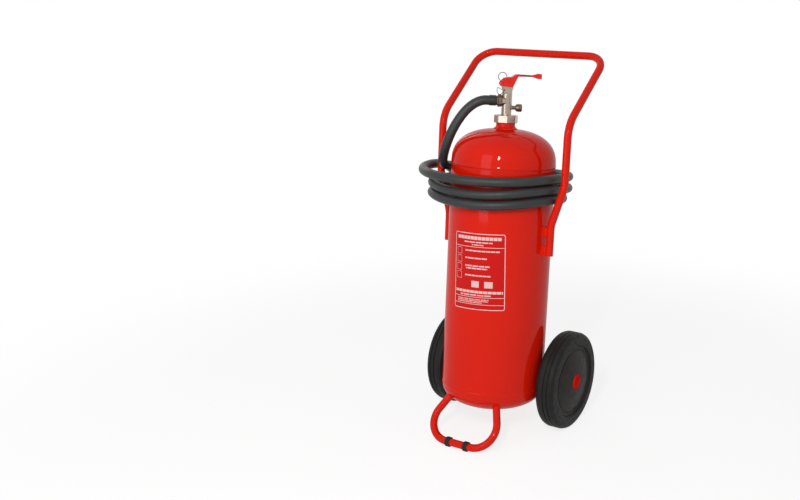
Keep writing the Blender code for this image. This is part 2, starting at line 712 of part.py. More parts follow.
def make_wheel(side_name, side, frame_object):
    """One wheel: tyre, disc, bush and hub cap, all turning on the stub axle."""
    outward = {"parent": frame_object, "rotation": SIDEWAYS if side > 0 else MIRRORED}
    turned("tyre_" + side_name, tyre_profile(), RUBBER, WHEEL_STEPS, closed=True, **outward)
    turned("wheel_disc_" + side_name, disc_profile(), PLASTIC, WHEEL_STEPS, closed=True, **outward)
    hub_in = HUB_INNER_X - WHEEL_CENTRE_X
    hub_out = HUB_OUTER_X - WHEEL_CENTRE_X
    bush_out = HUB_BORE_RADIUS - SEAT_GAP
    bush_in = AXLE_RADIUS + AXLE_CLEARANCE
    bush = [(bush_in, hub_out), (bush_out, hub_out), (bush_out, hub_in), (bush_in, hub_in)]
    turned("wheel_bush_" + side_name, bush, WHITE, 16, closed=True, **outward)
    face = CAP_OUTER_X - WHEEL_CENTRE_X
    inner = HUB_RADIUS + 2 * SEAT_GAP
    skirt = HUB_OUTER_X - CAP_SKIRT - WHEEL_CENTRE_X
    cap = [
        (0.0, face - 0.0012), (0.0105, face - 0.0012), (0.0120, face), (0.0180, face),
        (CAP_RADIUS, face - 0.0030), (CAP_RADIUS, skirt), (inner, skirt),
        (inner, face - 0.0030 - CAP_WALL), (0.0, face - 0.0012 - CAP_WALL),
    ]
    turned("hub_cap_" + side_name, cap, RED, 16, **outward)


def make_axles():
    """Stub axles with their washers and split pins."""
    inside = AXLE_RADIUS + SEAT_GAP
    half = WASHER_THICKNESS / 2
    washer = [(inside, half), (WASHER_RADIUS, half), (WASHER_RADIUS, -half), (inside, -half)]
    length = AXLE_END_X - AXLE_INNER_X
    pin_x = HUB_OUTER_X + WASHER_THICKNESS + SPLIT_PIN_RADIUS + 3 * SEAT_GAP
    washer_places = (
        ("inner", HUB_INNER_X - SEAT_GAP - half), ("outer", HUB_OUTER_X + SEAT_GAP + half))
    for side_name, side in (("left", -1), ("right", 1)):
        axle = rod("stub_axle_" + side_name, AXLE_RADIUS, length,
                   (side * (AXLE_INNER_X + length / 2), WHEEL_Y, WHEEL_Z), STEEL,
                   rotation=SIDEWAYS)
        cut(axle, rod("split_pin_hole", SPLIT_PIN_RADIUS + SEAT_GAP, 4 * AXLE_RADIUS,
                      (side * pin_x, WHEEL_Y, WHEEL_Z), None, rotation=SPLIT_PIN_TURN, sides=8))
        for place, x in washer_places:
            turned("axle_washer_" + place + "_" + side_name, washer, STEEL, 16, closed=True,
                   location=(side * x, WHEEL_Y, WHEEL_Z), rotation=SIDEWAYS)
        rod("split_pin_" + side_name, SPLIT_PIN_RADIUS, 2 * AXLE_RADIUS + 0.008,
            (side * pin_x, WHEEL_Y, WHEEL_Z), STEEL, rotation=SPLIT_PIN_TURN, sides=8)


# ---------------------------------------------------------------- valve
def make_collar():
    """Eight-sided union nut that holds the valve's flange on the neck."""
    top = FLANGE_THICKNESS + GASKET_THICKNESS + 3 * SEAT_GAP + COLLAR_PLATE
    bottom = top - COLLAR_HEIGHT
    corner = COLLAR_CORNER_RADIUS
    chamfer = 0.0016
    profile = [(0.0, top), (corner - chamfer * 1.6, top), (corner, top - chamfer),
               (corner, bottom + chamfer), (corner - chamfer * 1.6, bottom), (0.0, bottom)]
    nut = turned("valve_collar", profile, PLATED, 8, parent=VALVE, rotation=(0, 0, COLLAR_TURN))
    recess_top = top - COLLAR_PLATE
    thread = rod("collar_thread", NECK_RADIUS + SEAT_GAP, COLLAR_HEIGHT * 2,
                 (0, 0, recess_top - COLLAR_HEIGHT), None, VALVE, sides=32)
    hole = rod("collar_hole", VALVE_RADIUS + SEAT_GAP, 0.04, (0, 0, top), None, VALVE, sides=24)
    cut(nut, thread, hole)


def outlet_cylinder(name, radius, start, end, height, sides=20, surface=None, parent=VALVE):
    """A round bar along the valve's own X between two distances from its axis."""
    return rod(name, radius, end - start, ((start + end) / 2, 0, height), surface, parent,
               SIDEWAYS, sides)


def make_valve_body():
    """Forged body with flange, outlet boss, gauge boss, milled flats and two pivot ears."""
    flange = NECK_RADIUS - 0.0005
    base = GASKET_THICKNESS + 2 * SEAT_GAP
    spigot = NECK_BORE_RADIUS - 0.0005
    bottom = -0.0180
    profile = [
        (0.0, VALVE_SHOULDER_Z), (VALVE_HEAD_RADIUS - 0.001, VALVE_SHOULDER_Z),
        (VALVE_HEAD_RADIUS, VALVE_SHOULDER_Z - 0.001), (VALVE_HEAD_RADIUS, VALVE_HEAD_Z),
        (VALVE_RADIUS, VALVE_HEAD_Z - 0.004), (VALVE_RADIUS, base + FLANGE_THICKNESS),
        (flange, base + FLANGE_THICKNESS), (flange, base), (spigot, base), (spigot, bottom),
        (0.0, bottom),
    ]
    body = turned("valve_body", profile, PLATED, 20, parent=VALVE)
    boss = outlet_cylinder("outlet_boss", OUTLET_BOSS_RADIUS, -NUT_START + SEAT_GAP, 0.004,
                           OUTLET_Z, 16)
    spigot_bar = outlet_cylinder("outlet_spigot", OUTLET_SPIGOT_RADIUS, -OUTLET_SPIGOT_END, 0.0,
                                 OUTLET_Z, 16)
    gauge_boss = outlet_cylinder("gauge_boss", GAUGE_NIPPLE_RADIUS + 0.001, 0.0,
                                 GAUGE_START - SEAT_GAP, GAUGE_Z, 10)
    ear_mid = VALVE_FLAT - EAR_THICKNESS / 2
    foot_z = -PIVOT_HEIGHT - 0.003
    outline = [(EAR_RADIUS, foot_z)] + arc(EAR_RADIUS, 0.0, math.radians(125), 6)
    outline += arc(PIN_BOSS_RADIUS, math.radians(90), math.radians(225), 5, (PIN_X, PIN_Z))
    outline.append((-0.0110, foot_z))
    ears = []
    for side in (-1, 1):
        ears.append(as_mesh(plate(
            "pivot_ear", outline, EAR_THICKNESS, None, parent=VALVE,
            location=(0, side * ear_mid, PIVOT_UP), rotation=UPRIGHT)))
    join(body, boss, spigot_bar, gauge_boss, *ears)
    for side in (-1, 1):
        cut(body, box("milled_flat", (0.05, 0.02, FLAT_DEPTH * 2),
                      (0, side * (VALVE_FLAT + 0.01), VALVE_SHOULDER_Z), None, VALVE))
    tube_seat = DIP_TUBE_RADIUS + SEAT_GAP
    chamber = [
        (0.0, VALVE_SHOULDER_Z + 0.01), (STEM_RADIUS + SEAT_GAP, VALVE_SHOULDER_Z + 0.01),
        (STEM_RADIUS + SEAT_GAP, 0.062), (0.0085, 0.058), (0.0085, SEAT_Z + 0.0040),
        (SEAT_RADIUS, SEAT_Z + 0.0020), (SEAT_RADIUS, SEAT_Z), (VALVE_BORE_RADIUS, SEAT_Z),
        (VALVE_BORE_RADIUS, -0.0060), (tube_seat, -0.0060), (tube_seat, bottom - 0.01),
        (0.0, bottom - 0.01),
    ]
    cut(body, turned("valve_chamber", chamber, None, 14, parent=VALVE))
    cut(body, outlet_cylinder("outlet_bore", OUTLET_BORE_RADIUS, -0.05, 0.0, OUTLET_Z, 12))
    cut(body, rod("pivot_bore", PIVOT_RADIUS + SEAT_GAP, 0.06, (0, 0, PIVOT_UP), None, VALVE,
                  UPRIGHT, 12))
    cut(body, rod("seal_hole", SEAL_HOLE_RADIUS, 0.06,
                  (SEAL_HOLE_X, 0, PIVOT_UP + SEAL_HOLE_Z), None, VALVE, UPRIGHT, 8))
    cut(body, rod("safety_pin_bore", PIN_RADIUS + SEAT_GAP, 0.02,
                  (PIN_X, 0.01, PIVOT_UP + PIN_Z), None, VALVE, UPRIGHT, 10))


def make_valve_inside():
    """Stem with its poppet and seal, the spring under it, its seat and the dip tube."""
    stem_top = PIVOT_UP - CAM_BASE_RADIUS - SEAT_GAP
    seal_top = SEAT_Z - SEAT_GAP
    seal_low = seal_top - SEAL_THICKNESS
    poppet_low = seal_low - SEAT_GAP - POPPET_THICKNESS
    stem = [
        (0.0, stem_top), (STEM_RADIUS - 0.0006, stem_top), (STEM_RADIUS, stem_top - 0.0006),
        (STEM_RADIUS, seal_low - SEAT_GAP), (POPPET_RADIUS, seal_low - SEAT_GAP),
        (POPPET_RADIUS, poppet_low + 0.0015), (0.0050, poppet_low), (0.0, poppet_low),
    ]
    turned("valve_stem", stem, STEEL, 16, parent=VALVE)
    bore = STEM_RADIUS + SEAT_GAP
    seal = [(bore, seal_top), (POPPET_RADIUS, seal_top), (POPPET_RADIUS, seal_low),
            (bore, seal_low)]
    turned("stem_seal", seal, RUBBER, 16, closed=True, parent=VALVE)
    spring_top = poppet_low - SPRING_WIRE - SEAT_GAP
    radius = VALVE_BORE_RADIUS - SPRING_WIRE - 0.0010
    count = SPRING_TURNS * 9
    coil = []
    for i in range(count + 1):
        angle = math.tau * SPRING_TURNS * i / count
        height = spring_top - (SPRING_LENGTH - 2 * SPRING_WIRE) * i / count
        coil.append((radius * math.cos(angle), radius * math.sin(angle), height))
    wire("stem_spring", coil, SPRING_WIRE, STEEL, 4, parent=VALVE)
    seat_top = spring_top - SPRING_LENGTH + SPRING_WIRE - SEAT_GAP
    tube_top = -0.0060 - SEAT_GAP
    sleeve_out = VALVE_BORE_RADIUS - SEAT_GAP
    sleeve = [(SEAT_RADIUS, seat_top), (sleeve_out, seat_top),
              (sleeve_out, tube_top + 2 * SEAT_GAP), (SEAT_RADIUS, tube_top + 2 * SEAT_GAP)]
    turned("spring_seat", sleeve, BRASS, 16, closed=True, parent=VALVE)
    tube_low = DIP_TUBE_FLOOR_GAP + TANK_WALL - NECK_TOP_Z
    inner = DIP_TUBE_RADIUS - DIP_TUBE_WALL
    lip = SEAT_RADIUS + 0.001
    dip = [(lip, tube_top), (DIP_TUBE_RADIUS, tube_top), (DIP_TUBE_RADIUS, tube_low),
           (inner, tube_low), (inner, tube_top - 0.0015), (lip, tube_top - 0.0015)]
    turned("dip_tube", dip, PLASTIC, 14, closed=True, parent=VALVE)


def make_gasket():
    """Flat seal between the neck and the valve's flange."""
    outer = NECK_RADIUS - 0.0010
    inner = NECK_BORE_RADIUS + 0.0005
    low = SEAT_GAP
    high = SEAT_GAP + GASKET_THICKNESS
    profile = [(inner, high), (outer, high), (outer, low), (inner, low)]
    turned("neck_gasket", profile, RUBBER, 20, closed=True, parent=VALVE)


# ---------------------------------------------------------------- lever and safety pin
def cam_outline():
    """Cam whose reach grows evenly by the stem's travel as the lever turns through its swing.

    It is the envelope of its own tangent lines, so a flat stem end stays in touch with it.
    """
    rise = STEM_TRAVEL / LEVER_SWING
    outline = []
    steps = 18
    for i in range(steps + 1):
        angle = math.radians(-90) - LEVER_SWING * i / steps
        reach = CAM_BASE_RADIUS + rise * (math.radians(-90) - angle)
        x = reach * math.cos(angle) + rise * math.sin(angle)
        y = reach * math.sin(angle) - rise * math.cos(angle)
        outline.append((x, y))
    outline += [(-0.0105, 0.0030), (-0.0070, 0.0075), (-0.0010, 0.0096), (0.0060, 0.0100)]
    outline += arc(CAM_BASE_RADIUS, math.radians(20), math.radians(-80), 5)
    return outline


def make_lever(pivot):
    """Cast lever: two cheeks outside the ears, the cam between them, and an arm with a paddle."""
    cheek_mid = VALVE_FLAT + SEAT_GAP + LEVER_CHEEK / 2
    lever = as_mesh(plate("lever", LEVER_SIDE, LEVER_CHEEK, RED, parent=pivot,
                          location=(0, cheek_mid, 0), rotation=UPRIGHT))
    other = as_mesh(plate("lever_cheek", LEVER_SIDE, LEVER_CHEEK, None, parent=pivot,
                          location=(0, -cheek_mid, 0), rotation=UPRIGHT))
    cam = as_mesh(plate("lever_cam", cam_outline(), 2 * CAM_HALF_WIDTH, None, parent=pivot,
                        rotation=UPRIGHT))
    roof_outline = arc(LEVER_ROOF_RADIUS, math.radians(-25), math.radians(55), 6)
    roof_outline += [(0.0036, 0.0104), (0.0115, 0.0114), (0.0216, 0.0190), (0.0340, 0.0196),
                     (0.0340, 0.0130), (0.0270, 0.0130), (0.0180, -0.0065)]
    roof = as_mesh(plate("lever_roof", roof_outline, 2 * cheek_mid, None, parent=pivot,
                         rotation=UPRIGHT))
    narrow = LEVER_ARM_THICKNESS / 2
    waist = LEVER_REACH - PADDLE_LENGTH
    tip_radius = PADDLE_HEIGHT * 0.45
    top_view = [(0.0230, -cheek_mid), (0.0300, -cheek_mid), (0.0400, -LEVER_ARM_WIDTH / 2),
                (waist, -LEVER_ARM_WIDTH / 2)]
    below = list(top_view)
    top_view += arc(tip_radius, math.radians(-70), math.radians(70), 6,
                    (LEVER_REACH - tip_radius, 0.0))
    top_view += [(x, -y) for x, y in reversed(below)]
    arm = as_mesh(plate("lever_arm", top_view, 2 * PADDLE_HEIGHT, None, parent=pivot,
                        location=(0, 0, LEVER_ARM_Z)))
    swell = waist + PADDLE_LENGTH * 0.60
    upper = [(0.0220, narrow * 0.95), (0.0400, narrow * 0.85), (waist, narrow * 0.75),
             (swell, PADDLE_HEIGHT / 2), (LEVER_REACH + 0.001, PADDLE_HEIGHT / 2 - 0.001)]
    side_view = upper + [(x, -y) for x, y in reversed(upper)]
    boolean(arm, as_mesh(plate("lever_side", side_view, 0.05, None, parent=pivot,
                               location=(0, 0, LEVER_ARM_Z), rotation=UPRIGHT)), "INTERSECT")
    join(lever, other, roof, cam, arm)
    cut(lever, rod("lever_bore", PIVOT_RADIUS + SEAT_GAP, 0.06, (0, 0, 0), None, pivot, UPRIGHT,
                   12))
    cut(lever, rod("lever_pin_bore", PIN_RADIUS + PIN_CLEARANCE, 0.02,
                   (PIN_X, VALVE_FLAT + 0.01, PIN_Z), None, pivot, UPRIGHT, 10))


def make_pivot():
    """Headed pin that the lever turns on."""
    half = CHEEK_FACE + SEAT_GAP
    head = 0.0016
    profile = [
        (0.0, half + head), (PIVOT_RADIUS + 0.0015, half + head), (PIVOT_RADIUS + 0.0015, half),
        (PIVOT_RADIUS, half), (PIVOT_RADIUS, -half), (PIVOT_RADIUS + 0.0015, -half),
        (PIVOT_RADIUS + 0.0015, -half - head), (0.0, -half - head)]
    turned("lever_pivot", profile, STEEL, 12, parent=VALVE, location=(0, 0, PIVOT_UP),
           rotation=UPRIGHT)


def make_safety_pin():
    """Pin through the rear cheek into the rear ear, with its pull ring standing on its head."""
    pin_frame = frame("pin_frame", VALVE, (PIN_X, CHEEK_FACE + SEAT_GAP, PIVOT_UP + PIN_Z),
                      (-math.pi / 2, 0, 0))
    tip = VALVE_FLAT - PIN_ENGAGEMENT - CHEEK_FACE - SEAT_GAP
    profile = [
        (0.0, PIN_HEAD_LENGTH), (PIN_HEAD_RADIUS - 0.001, PIN_HEAD_LENGTH),
        (PIN_HEAD_RADIUS, PIN_HEAD_LENGTH - 0.001), (PIN_HEAD_RADIUS, 0.0), (PIN_RADIUS, 0.0),
        (PIN_RADIUS, tip + PIN_TAPER), (0.0008, tip), (0.0, tip)]
    pin = turned("safety_pin", profile, STEEL, 12, parent=pin_frame)
    eye_y = PIN_HEAD_LENGTH / 2
    ring_frame = frame("ring_frame", pin_frame, (0, 0, eye_y), (math.pi / 2, 0, 0))
    cut(pin, rod("pin_eye", PIN_EYE_RADIUS, 0.02, (0, 0, 0), None, ring_frame, SIDEWAYS, 10))
    steps = 20
    loop = []
    for i in range(steps):
        angle = math.tau * (i + 0.5) / steps
        loop.append((RING_RADIUS * math.sin(angle), 0.0, RING_RADIUS * (1 - math.cos(angle))))
    wire("pull_ring", loop, RING_WIRE, STEEL, 6, closed=True, parent=ring_frame)


def make_seal_wire():
    """Loop of thin wire through the cross hole in the valve's head."""
    x = SEAL_HOLE_X
    z = SEAL_HOLE_Z
    route = [
        (x, -0.0060, z), (x, -0.0125, z), (-0.0165, -0.0150, -0.0330),
        (-0.0225, -0.0120, -0.0385), (-0.0290, -0.0060, -0.0345), (-0.0295, 0.0010, -0.0255),
        (-0.0270, 0.0080, -0.0200), (-0.0215, 0.0140, -0.0215), (-0.0150, 0.0150, -0.0250),
        (x, 0.0125, z), (x, 0.0060, z)]
    wire("seal_wire", smooth(route, 0.0045), SEAL_WIRE, STEEL, 4, parent=VALVE,
         location=(0, 0, PIVOT_UP))


# ---------------------------------------------------------------- pressure gauge
def make_gauge():
    """Small gauge on the valve: case with nipple, dial, needle and lens."""
    inner = GAUGE_RADIUS - GAUGE_WALL
    floor = GAUGE_FACE - 0.0055
    lip = 0.0008
    place = {"parent": VALVE, "location": (0, 0, GAUGE_Z), "rotation": SIDEWAYS}
    case = [
        (inner - lip, GAUGE_FACE), (GAUGE_RADIUS - 0.0008, GAUGE_FACE),
        (GAUGE_RADIUS, GAUGE_FACE - 0.0010), (GAUGE_RADIUS, GAUGE_BACK + 0.0080),
        (GAUGE_RADIUS * 0.92, GAUGE_BACK + 0.0035), (GAUGE_RADIUS * 0.68, GAUGE_BACK),
        (GAUGE_NIPPLE_RADIUS, GAUGE_BACK),
        (GAUGE_NIPPLE_RADIUS, GAUGE_START), (0.0, GAUGE_START)]
    cavity = [(0.0, floor), (inner, floor), (inner, GAUGE_FACE - lip),
              (inner - lip, GAUGE_FACE - lip)]
    turned("gauge_case", cavity + case, PLATED, 16, **place)
    dial = [(0.0, floor + SEAT_GAP + DIAL_THICKNESS), (inner - SEAT_GAP, floor + SEAT_GAP
            + DIAL_THICKNESS), (inner - SEAT_GAP, floor + SEAT_GAP), (0.0, floor + SEAT_GAP)]
    turned("gauge_dial", dial, WHITE, 16, **place)
    lens_top = GAUGE_FACE - lip - SEAT_GAP
    lens = [(0.0, lens_top), (inner - SEAT_GAP, lens_top), (inner - SEAT_GAP, lens_top
            - LENS_THICKNESS), (0.0, lens_top - LENS_THICKNESS)]
    turned("gauge_lens", lens, CLEAR, 16, **place)
    dial_face = floor + SEAT_GAP + DIAL_THICKNESS
    needle_low = dial_face + SEAT_GAP
    needle_frame = frame("needle_frame", VALVE, (needle_low, 0, GAUGE_Z), SIDEWAYS)
    outline = [(-0.0012, -0.0016), (0.0012, -0.0016), (0.0014, 0.0010), (0.0004, 0.0075),
               (-0.0004, 0.0075), (-0.0014, 0.0010)]
    plate("gauge_needle", [(-y, x) for x, y in outline], 0.0006, PLASTIC, parent=needle_frame,
          location=(0, 0, 0.0003))


# ---------------------------------------------------------------- hose and its fittings
# The hose is followed from the valve. Its three turns are given by (degrees, distance from the
# axis, height), where 180 is the left arm, 90 the back, 0 the right arm and -90 the front. It
# lies inside both arms, except where the last turn leaves outside the left one.
HOSE_DESCENT = [
    (-0.0740, -0.0620, 0.8820), (-0.1005, -0.0815, 0.8460), (-0.1240, -0.0950, 0.7940),
    (-0.1440, -0.0915, 0.7460), (-0.1640, -0.0670, 0.7130)]
HOSE_TURNS = [
    (184, 0.1770, 0.6965), (157, 0.1690, 0.6930), (125, 0.1680, 0.6730), (90, 0.1680, 0.6480),
    (60, 0.1680, 0.6350), (30, 0.1745, 0.6285), (-2, 0.1685, 0.6325), (-45, 0.1690, 0.6250),
    (-70, 0.1710, 0.6190), (-95, 0.1765, 0.6180), (-120, 0.1905, 0.6220),
    (-146, 0.2000, 0.6310), (-182, 0.1658, 0.6340), (-205, 0.1785, 0.6370),
    (-225, 0.1960, 0.6400), (-250, 0.2005, 0.6430), (-270, 0.1990, 0.6450),
    (-315, 0.1950, 0.6530), (-362, 0.1690, 0.6610), (-405, 0.1690, 0.6550),
    (-430, 0.1710, 0.6480), (-455, 0.1765, 0.6460), (-480, 0.1905, 0.6500),
    (-506, 0.2000, 0.6592), (-542, 0.1740, 0.6625), (-565, 0.1830, 0.6660),
    (-585, 0.1965, 0.6710), (-610, 0.2005, 0.6770), (-630, 0.1990, 0.6800),
    (-675, 0.1950, 0.6870), (-722, 0.1700, 0.6910), (-765, 0.1690, 0.6860),
    (-805, 0.1760, 0.6820), (-845, 0.2110, 0.6860), (-876, 0.2320, 0.6920),
    (-902, 0.2342, 0.6950)]
HOSE_TAIL = [
    (-0.2325, 0.0700, 0.6810), (-0.2270, 0.1130, 0.6420), (-0.2190, 0.1310, 0.5850),
    (-0.2110, 0.1400, 0.5000), (-0.2020, 0.1480, 0.4100), (-0.1905, 0.1560, 0.3200),
    (-0.1725, 0.1630, 0.2640), (-0.1353, 0.1710, 0.2264), (-0.0835, 0.1780, 0.2125),
    (-0.0318, 0.1830, 0.2264), (0.0061, 0.1840, 0.2643)]
HOSE_POINT_SPACING = 0.060


def hose_points():
    """Points along the hose, straight inside the sleeve at either end and smooth between."""
    out = Matrix.Rotation(VALVE_TURN, 3, "Z") @ Vector((-1, 0, 0))
    outlet = Vector((0, 0, NECK_TOP_Z + OUTLET_Z))
    straight = HOSE_START + FERRULE_LENGTH + HOSE_LEAD
    route = [outlet + out * straight, outlet + out * (straight + HOSE_LEAD)]
    route += [Vector(point) for point in HOSE_DESCENT]
    for degrees, reach, height in HOSE_TURNS:
        angle = math.radians(degrees)
        route.append(Vector((reach * math.cos(angle), reach * math.sin(angle), height)))
    route += [Vector(point) for point in HOSE_TAIL]
    inlet = Vector((GUN_X, GUN_Y, GUN_INLET_Z))
    down = Vector((0, 0, -1))
    for run in (2 * HOSE_LEAD, HOSE_LEAD):
        route.append(inlet + down * (FERRULE_LENGTH + run))
    return [outlet + out * HOSE_START] + smooth(route, HOSE_POINT_SPACING) + [inlet]


def make_hose():
    """The whole hose, one tube from ferrule to ferrule."""
    wire("hose", hose_points(), HOSE_RADIUS, HOSE_RUBBER, 8)


# ---------------------------------------------------------------- hose fittings and gun
def ferrule_profile(length):
    """Crimped sleeve round the end of the hose, the open end upwards."""
    bore = HOSE_RADIUS + SEAT_GAP
    outside = bore + FERRULE_WALL
    return [
        (bore, length), (outside - 0.0004, length), (outside, length - 0.001), (outside, 0.0010),
        (outside - 0.0008, 0.0), (bore, 0.0)]


def make_outlet():
    """Swivel nut and washer on the outlet spigot, and the sleeve on the hose beyond them."""
    place = {"parent": VALVE, "location": (0, 0, OUTLET_Z), "rotation": MIRRORED}
    bore = OUTLET_SPIGOT_RADIUS + SEAT_GAP
    corner = NUT_CORNER_RADIUS
    nut = [(0.0, NUT_END), (corner - 0.0020, NUT_END), (corner, NUT_END - 0.0010),
           (corner, NUT_START + 0.0010), (corner - 0.0020, NUT_START), (0.0, NUT_START)]
    made = turned("outlet_nut", nut, PLATED, 6, **place)
    depth = OUTLET_SPIGOT_END + SEAT_GAP - NUT_START
    cut(made, rod("outlet_nut_bore", bore, 2 * depth, (-NUT_START, 0, OUTLET_Z), None, VALVE,
                  SIDEWAYS, 16))
    cut(made, rod("outlet_nut_way", OUTLET_BORE_RADIUS, 0.05, (-NUT_START, 0, OUTLET_Z), None,
                  VALVE, SIDEWAYS, 12))
    collar = [(OUTLET_BORE_RADIUS, HOSE_START - SEAT_GAP), (HOSE_RADIUS, HOSE_START - SEAT_GAP),
              (HOSE_RADIUS, NUT_END + SEAT_GAP), (OUTLET_BORE_RADIUS, NUT_END + SEAT_GAP)]
    turned("hose_tail_valve", collar, PLATED, 14, closed=True, **place)
    turned("hose_ferrule_valve", ferrule_profile(FERRULE_LENGTH), PLASTIC, 16, closed=True,
           parent=VALVE, location=(-HOSE_START, 0, OUTLET_Z), rotation=MIRRORED)


GUN = frame("gun_frame", STAND, (GUN_X, GUN_Y, GUN_INLET_Z))


def make_gun():
    """Discharge gun standing in two clips: coupling, body with trigger bracket, and nozzle."""
    turned("hose_ferrule_gun", ferrule_profile(FERRULE_LENGTH), PLASTIC, 16, closed=True,
           parent=GUN, rotation=(math.pi, 0, 0))
    low = SEAT_GAP
    nut_top = low + GUN_NUT_HEIGHT
    corner = NUT_CORNER_RADIUS
    nut = [(0.0, nut_top), (corner - 0.002, nut_top), (corner, nut_top - 0.001),
           (corner, low + 0.001), (corner - 0.002, low), (0.0, low)]
    coupling = turned("gun_coupling_nut", nut, PLATED, 6, parent=GUN)
    cut(coupling, rod("coupling_way", GUN_BORE_RADIUS, 0.06, (0, 0, 0), None, GUN, sides=12))
    base = nut_top + SEAT_GAP
    top = base + GUN_BARREL_LENGTH
    spigot = GUN_RADIUS - 0.0040
    barrel = [
        (spigot, top + GUN_SPIGOT_LENGTH), (spigot, top), (GUN_RADIUS - 0.001, top),
        (GUN_RADIUS, top - 0.001), (GUN_RADIUS, base + 0.001), (GUN_RADIUS - 0.001, base),
        (GUN_BORE_RADIUS, base), (GUN_BORE_RADIUS, top + GUN_SPIGOT_LENGTH)]
    body = turned("gun_body", barrel, PLATED, 16, closed=True, parent=GUN)
    pivot_y = TRIGGER_PIVOT_OUT
    half = BRACKET_HALF_HEIGHT
    bracket = [
        (GUN_RADIUS - 0.0025, TRIGGER_PIVOT_UP - half), (pivot_y, TRIGGER_PIVOT_UP - half / 2),
        (pivot_y + 0.006, TRIGGER_PIVOT_UP), (pivot_y, TRIGGER_PIVOT_UP + half / 2),
        (GUN_RADIUS - 0.0025, TRIGGER_PIVOT_UP + half)]
    cheek_mid = TRIGGER_WIDTH / 2 + SEAT_GAP + BRACKET_WALL / 2
    for side in (-1, 1):
        join(body, as_mesh(plate("trigger_bracket", bracket, BRACKET_WALL, None, parent=GUN,
                                 location=(side * cheek_mid, 0, 0),
                                 rotation=(math.pi / 2, 0, math.pi / 2))))
    cut(body, rod("trigger_pin_bore", TRIGGER_PIN_RADIUS + SEAT_GAP, 0.06,
                  (0, pivot_y, TRIGGER_PIVOT_UP), None, GUN, SIDEWAYS, 10))
    nozzle_low = top + SEAT_GAP
    nozzle_top = nozzle_low + GUN_NOZZLE_LENGTH
    bore = spigot + SEAT_GAP
    tip = NOZZLE_TIP_RADIUS
    shoulder = GUN_RADIUS + 0.0015
    nozzle = [
        (tip - 0.0025, nozzle_top), (tip, nozzle_top), (tip + 0.0005, nozzle_top - 0.003),
        (tip - 0.0012, nozzle_top - 0.008), (tip - 0.0012, nozzle_low + 0.045),
        (shoulder, nozzle_low + 0.020), (shoulder, nozzle_low), (bore, nozzle_low),
        (bore, nozzle_low + GUN_SPIGOT_LENGTH + 0.001), (NOZZLE_BORE_RADIUS, nozzle_low + 0.018),
        (NOZZLE_BORE_RADIUS, nozzle_top - 0.015)]
    turned("gun_nozzle", nozzle, PLASTIC, 16, closed=True, parent=GUN)
    trigger_frame = frame("trigger_frame", GUN, (0, pivot_y, TRIGGER_PIVOT_UP))
    upright = (math.pi / 2, 0, math.pi / 2)
    thick = TRIGGER_THICKNESS / 2
    outline = arc(0.0052, math.radians(-30), math.radians(190), 8)
    outline += [(-0.0040, -0.010), (0.0040, -0.030), (0.0080, -TRIGGER_LENGTH * 0.72),
                (0.0045, -TRIGGER_LENGTH), (0.0045 + 2 * thick, -TRIGGER_LENGTH),
                (0.0080 + 2 * thick, -TRIGGER_LENGTH * 0.72), (0.0040 + 2 * thick, -0.026)]
    trigger = as_mesh(plate("gun_trigger", outline, TRIGGER_WIDTH, RED, parent=trigger_frame,
                            rotation=upright))
    cut(trigger, rod("trigger_bore", TRIGGER_PIN_RADIUS + SEAT_GAP, 0.06, (0, 0, 0), None,
                     trigger_frame, SIDEWAYS, 10))
    half = TRIGGER_WIDTH / 2 + BRACKET_WALL + 2 * SEAT_GAP
    head = TRIGGER_PIN_RADIUS + 0.0012
    pin = [(0.0, half + 0.0014), (head, half + 0.0014), (head, half), (TRIGGER_PIN_RADIUS, half),
           (TRIGGER_PIN_RADIUS, -half), (head, -half), (head, -half - 0.0014),
           (0.0, -half - 0.0014)]
    turned("trigger_pin", pin, STEEL, 10, parent=GUN, location=(0, pivot_y, TRIGGER_PIVOT_UP),
           rotation=SIDEWAYS)


def make_clips(space):
    """Two spring clips on the back of the cylinder that hold the gun upright."""
    inner = GUN_RADIUS + SEAT_GAP
    outer = inner + CLIP_WALL
    start = math.radians(90) + CLIP_OPENING
    end = math.radians(450) - CLIP_OPENING
    ring = arc(outer, start, end, 18) + arc(inner, end, start, 18)
    for level, height in (("low", CLIP_LOW), ("high", CLIP_HIGH)):
        place = GUN_INLET_Z + height
        clip = as_mesh(plate("gun_clip_" + level, ring, CLIP_WIDTH, STEEL,
                             location=(GUN_X, GUN_Y, place)))
        reach = GUN_STANDOFF - inner - CLIP_WALL / 2 + 0.006
        block = box("clip_foot", (0.016, reach, CLIP_WIDTH * 0.8),
                    (GUN_X, GUN_Y - inner - CLIP_WALL / 2 - reach / 2, place), None)
        join(clip, block)
        cut(clip, space)


# ---------------------------------------------------------------- build
space = tank_space()
make_tank()
make_neck()
make_handle()
make_lugs(space)
make_foot(space)
make_saddle(space)
make_axles()
for wheel_name, wheel_side in (("left", -1), ("right", 1)):
    wheel_frame = frame("wheel_frame_" + wheel_name, STAND,
                        (wheel_side * WHEEL_CENTRE_X, WHEEL_Y, WHEEL_Z), (LEAN, 0, 0))
    make_wheel(wheel_name, wheel_side, wheel_frame)
make_gasket()
make_collar()
make_valve_body()
make_valve_inside()
lever_frame = frame("lever_frame", VALVE, (0, 0, PIVOT_UP))
make_lever(lever_frame)
make_pivot()
make_safety_pin()
make_seal_wire()
make_gauge()
make_outlet()
make_gun()
make_clips(space)
make_hose()
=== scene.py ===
import json
import math

import bmesh
import bpy
import numpy as np
from mathutils import Matrix, Vector


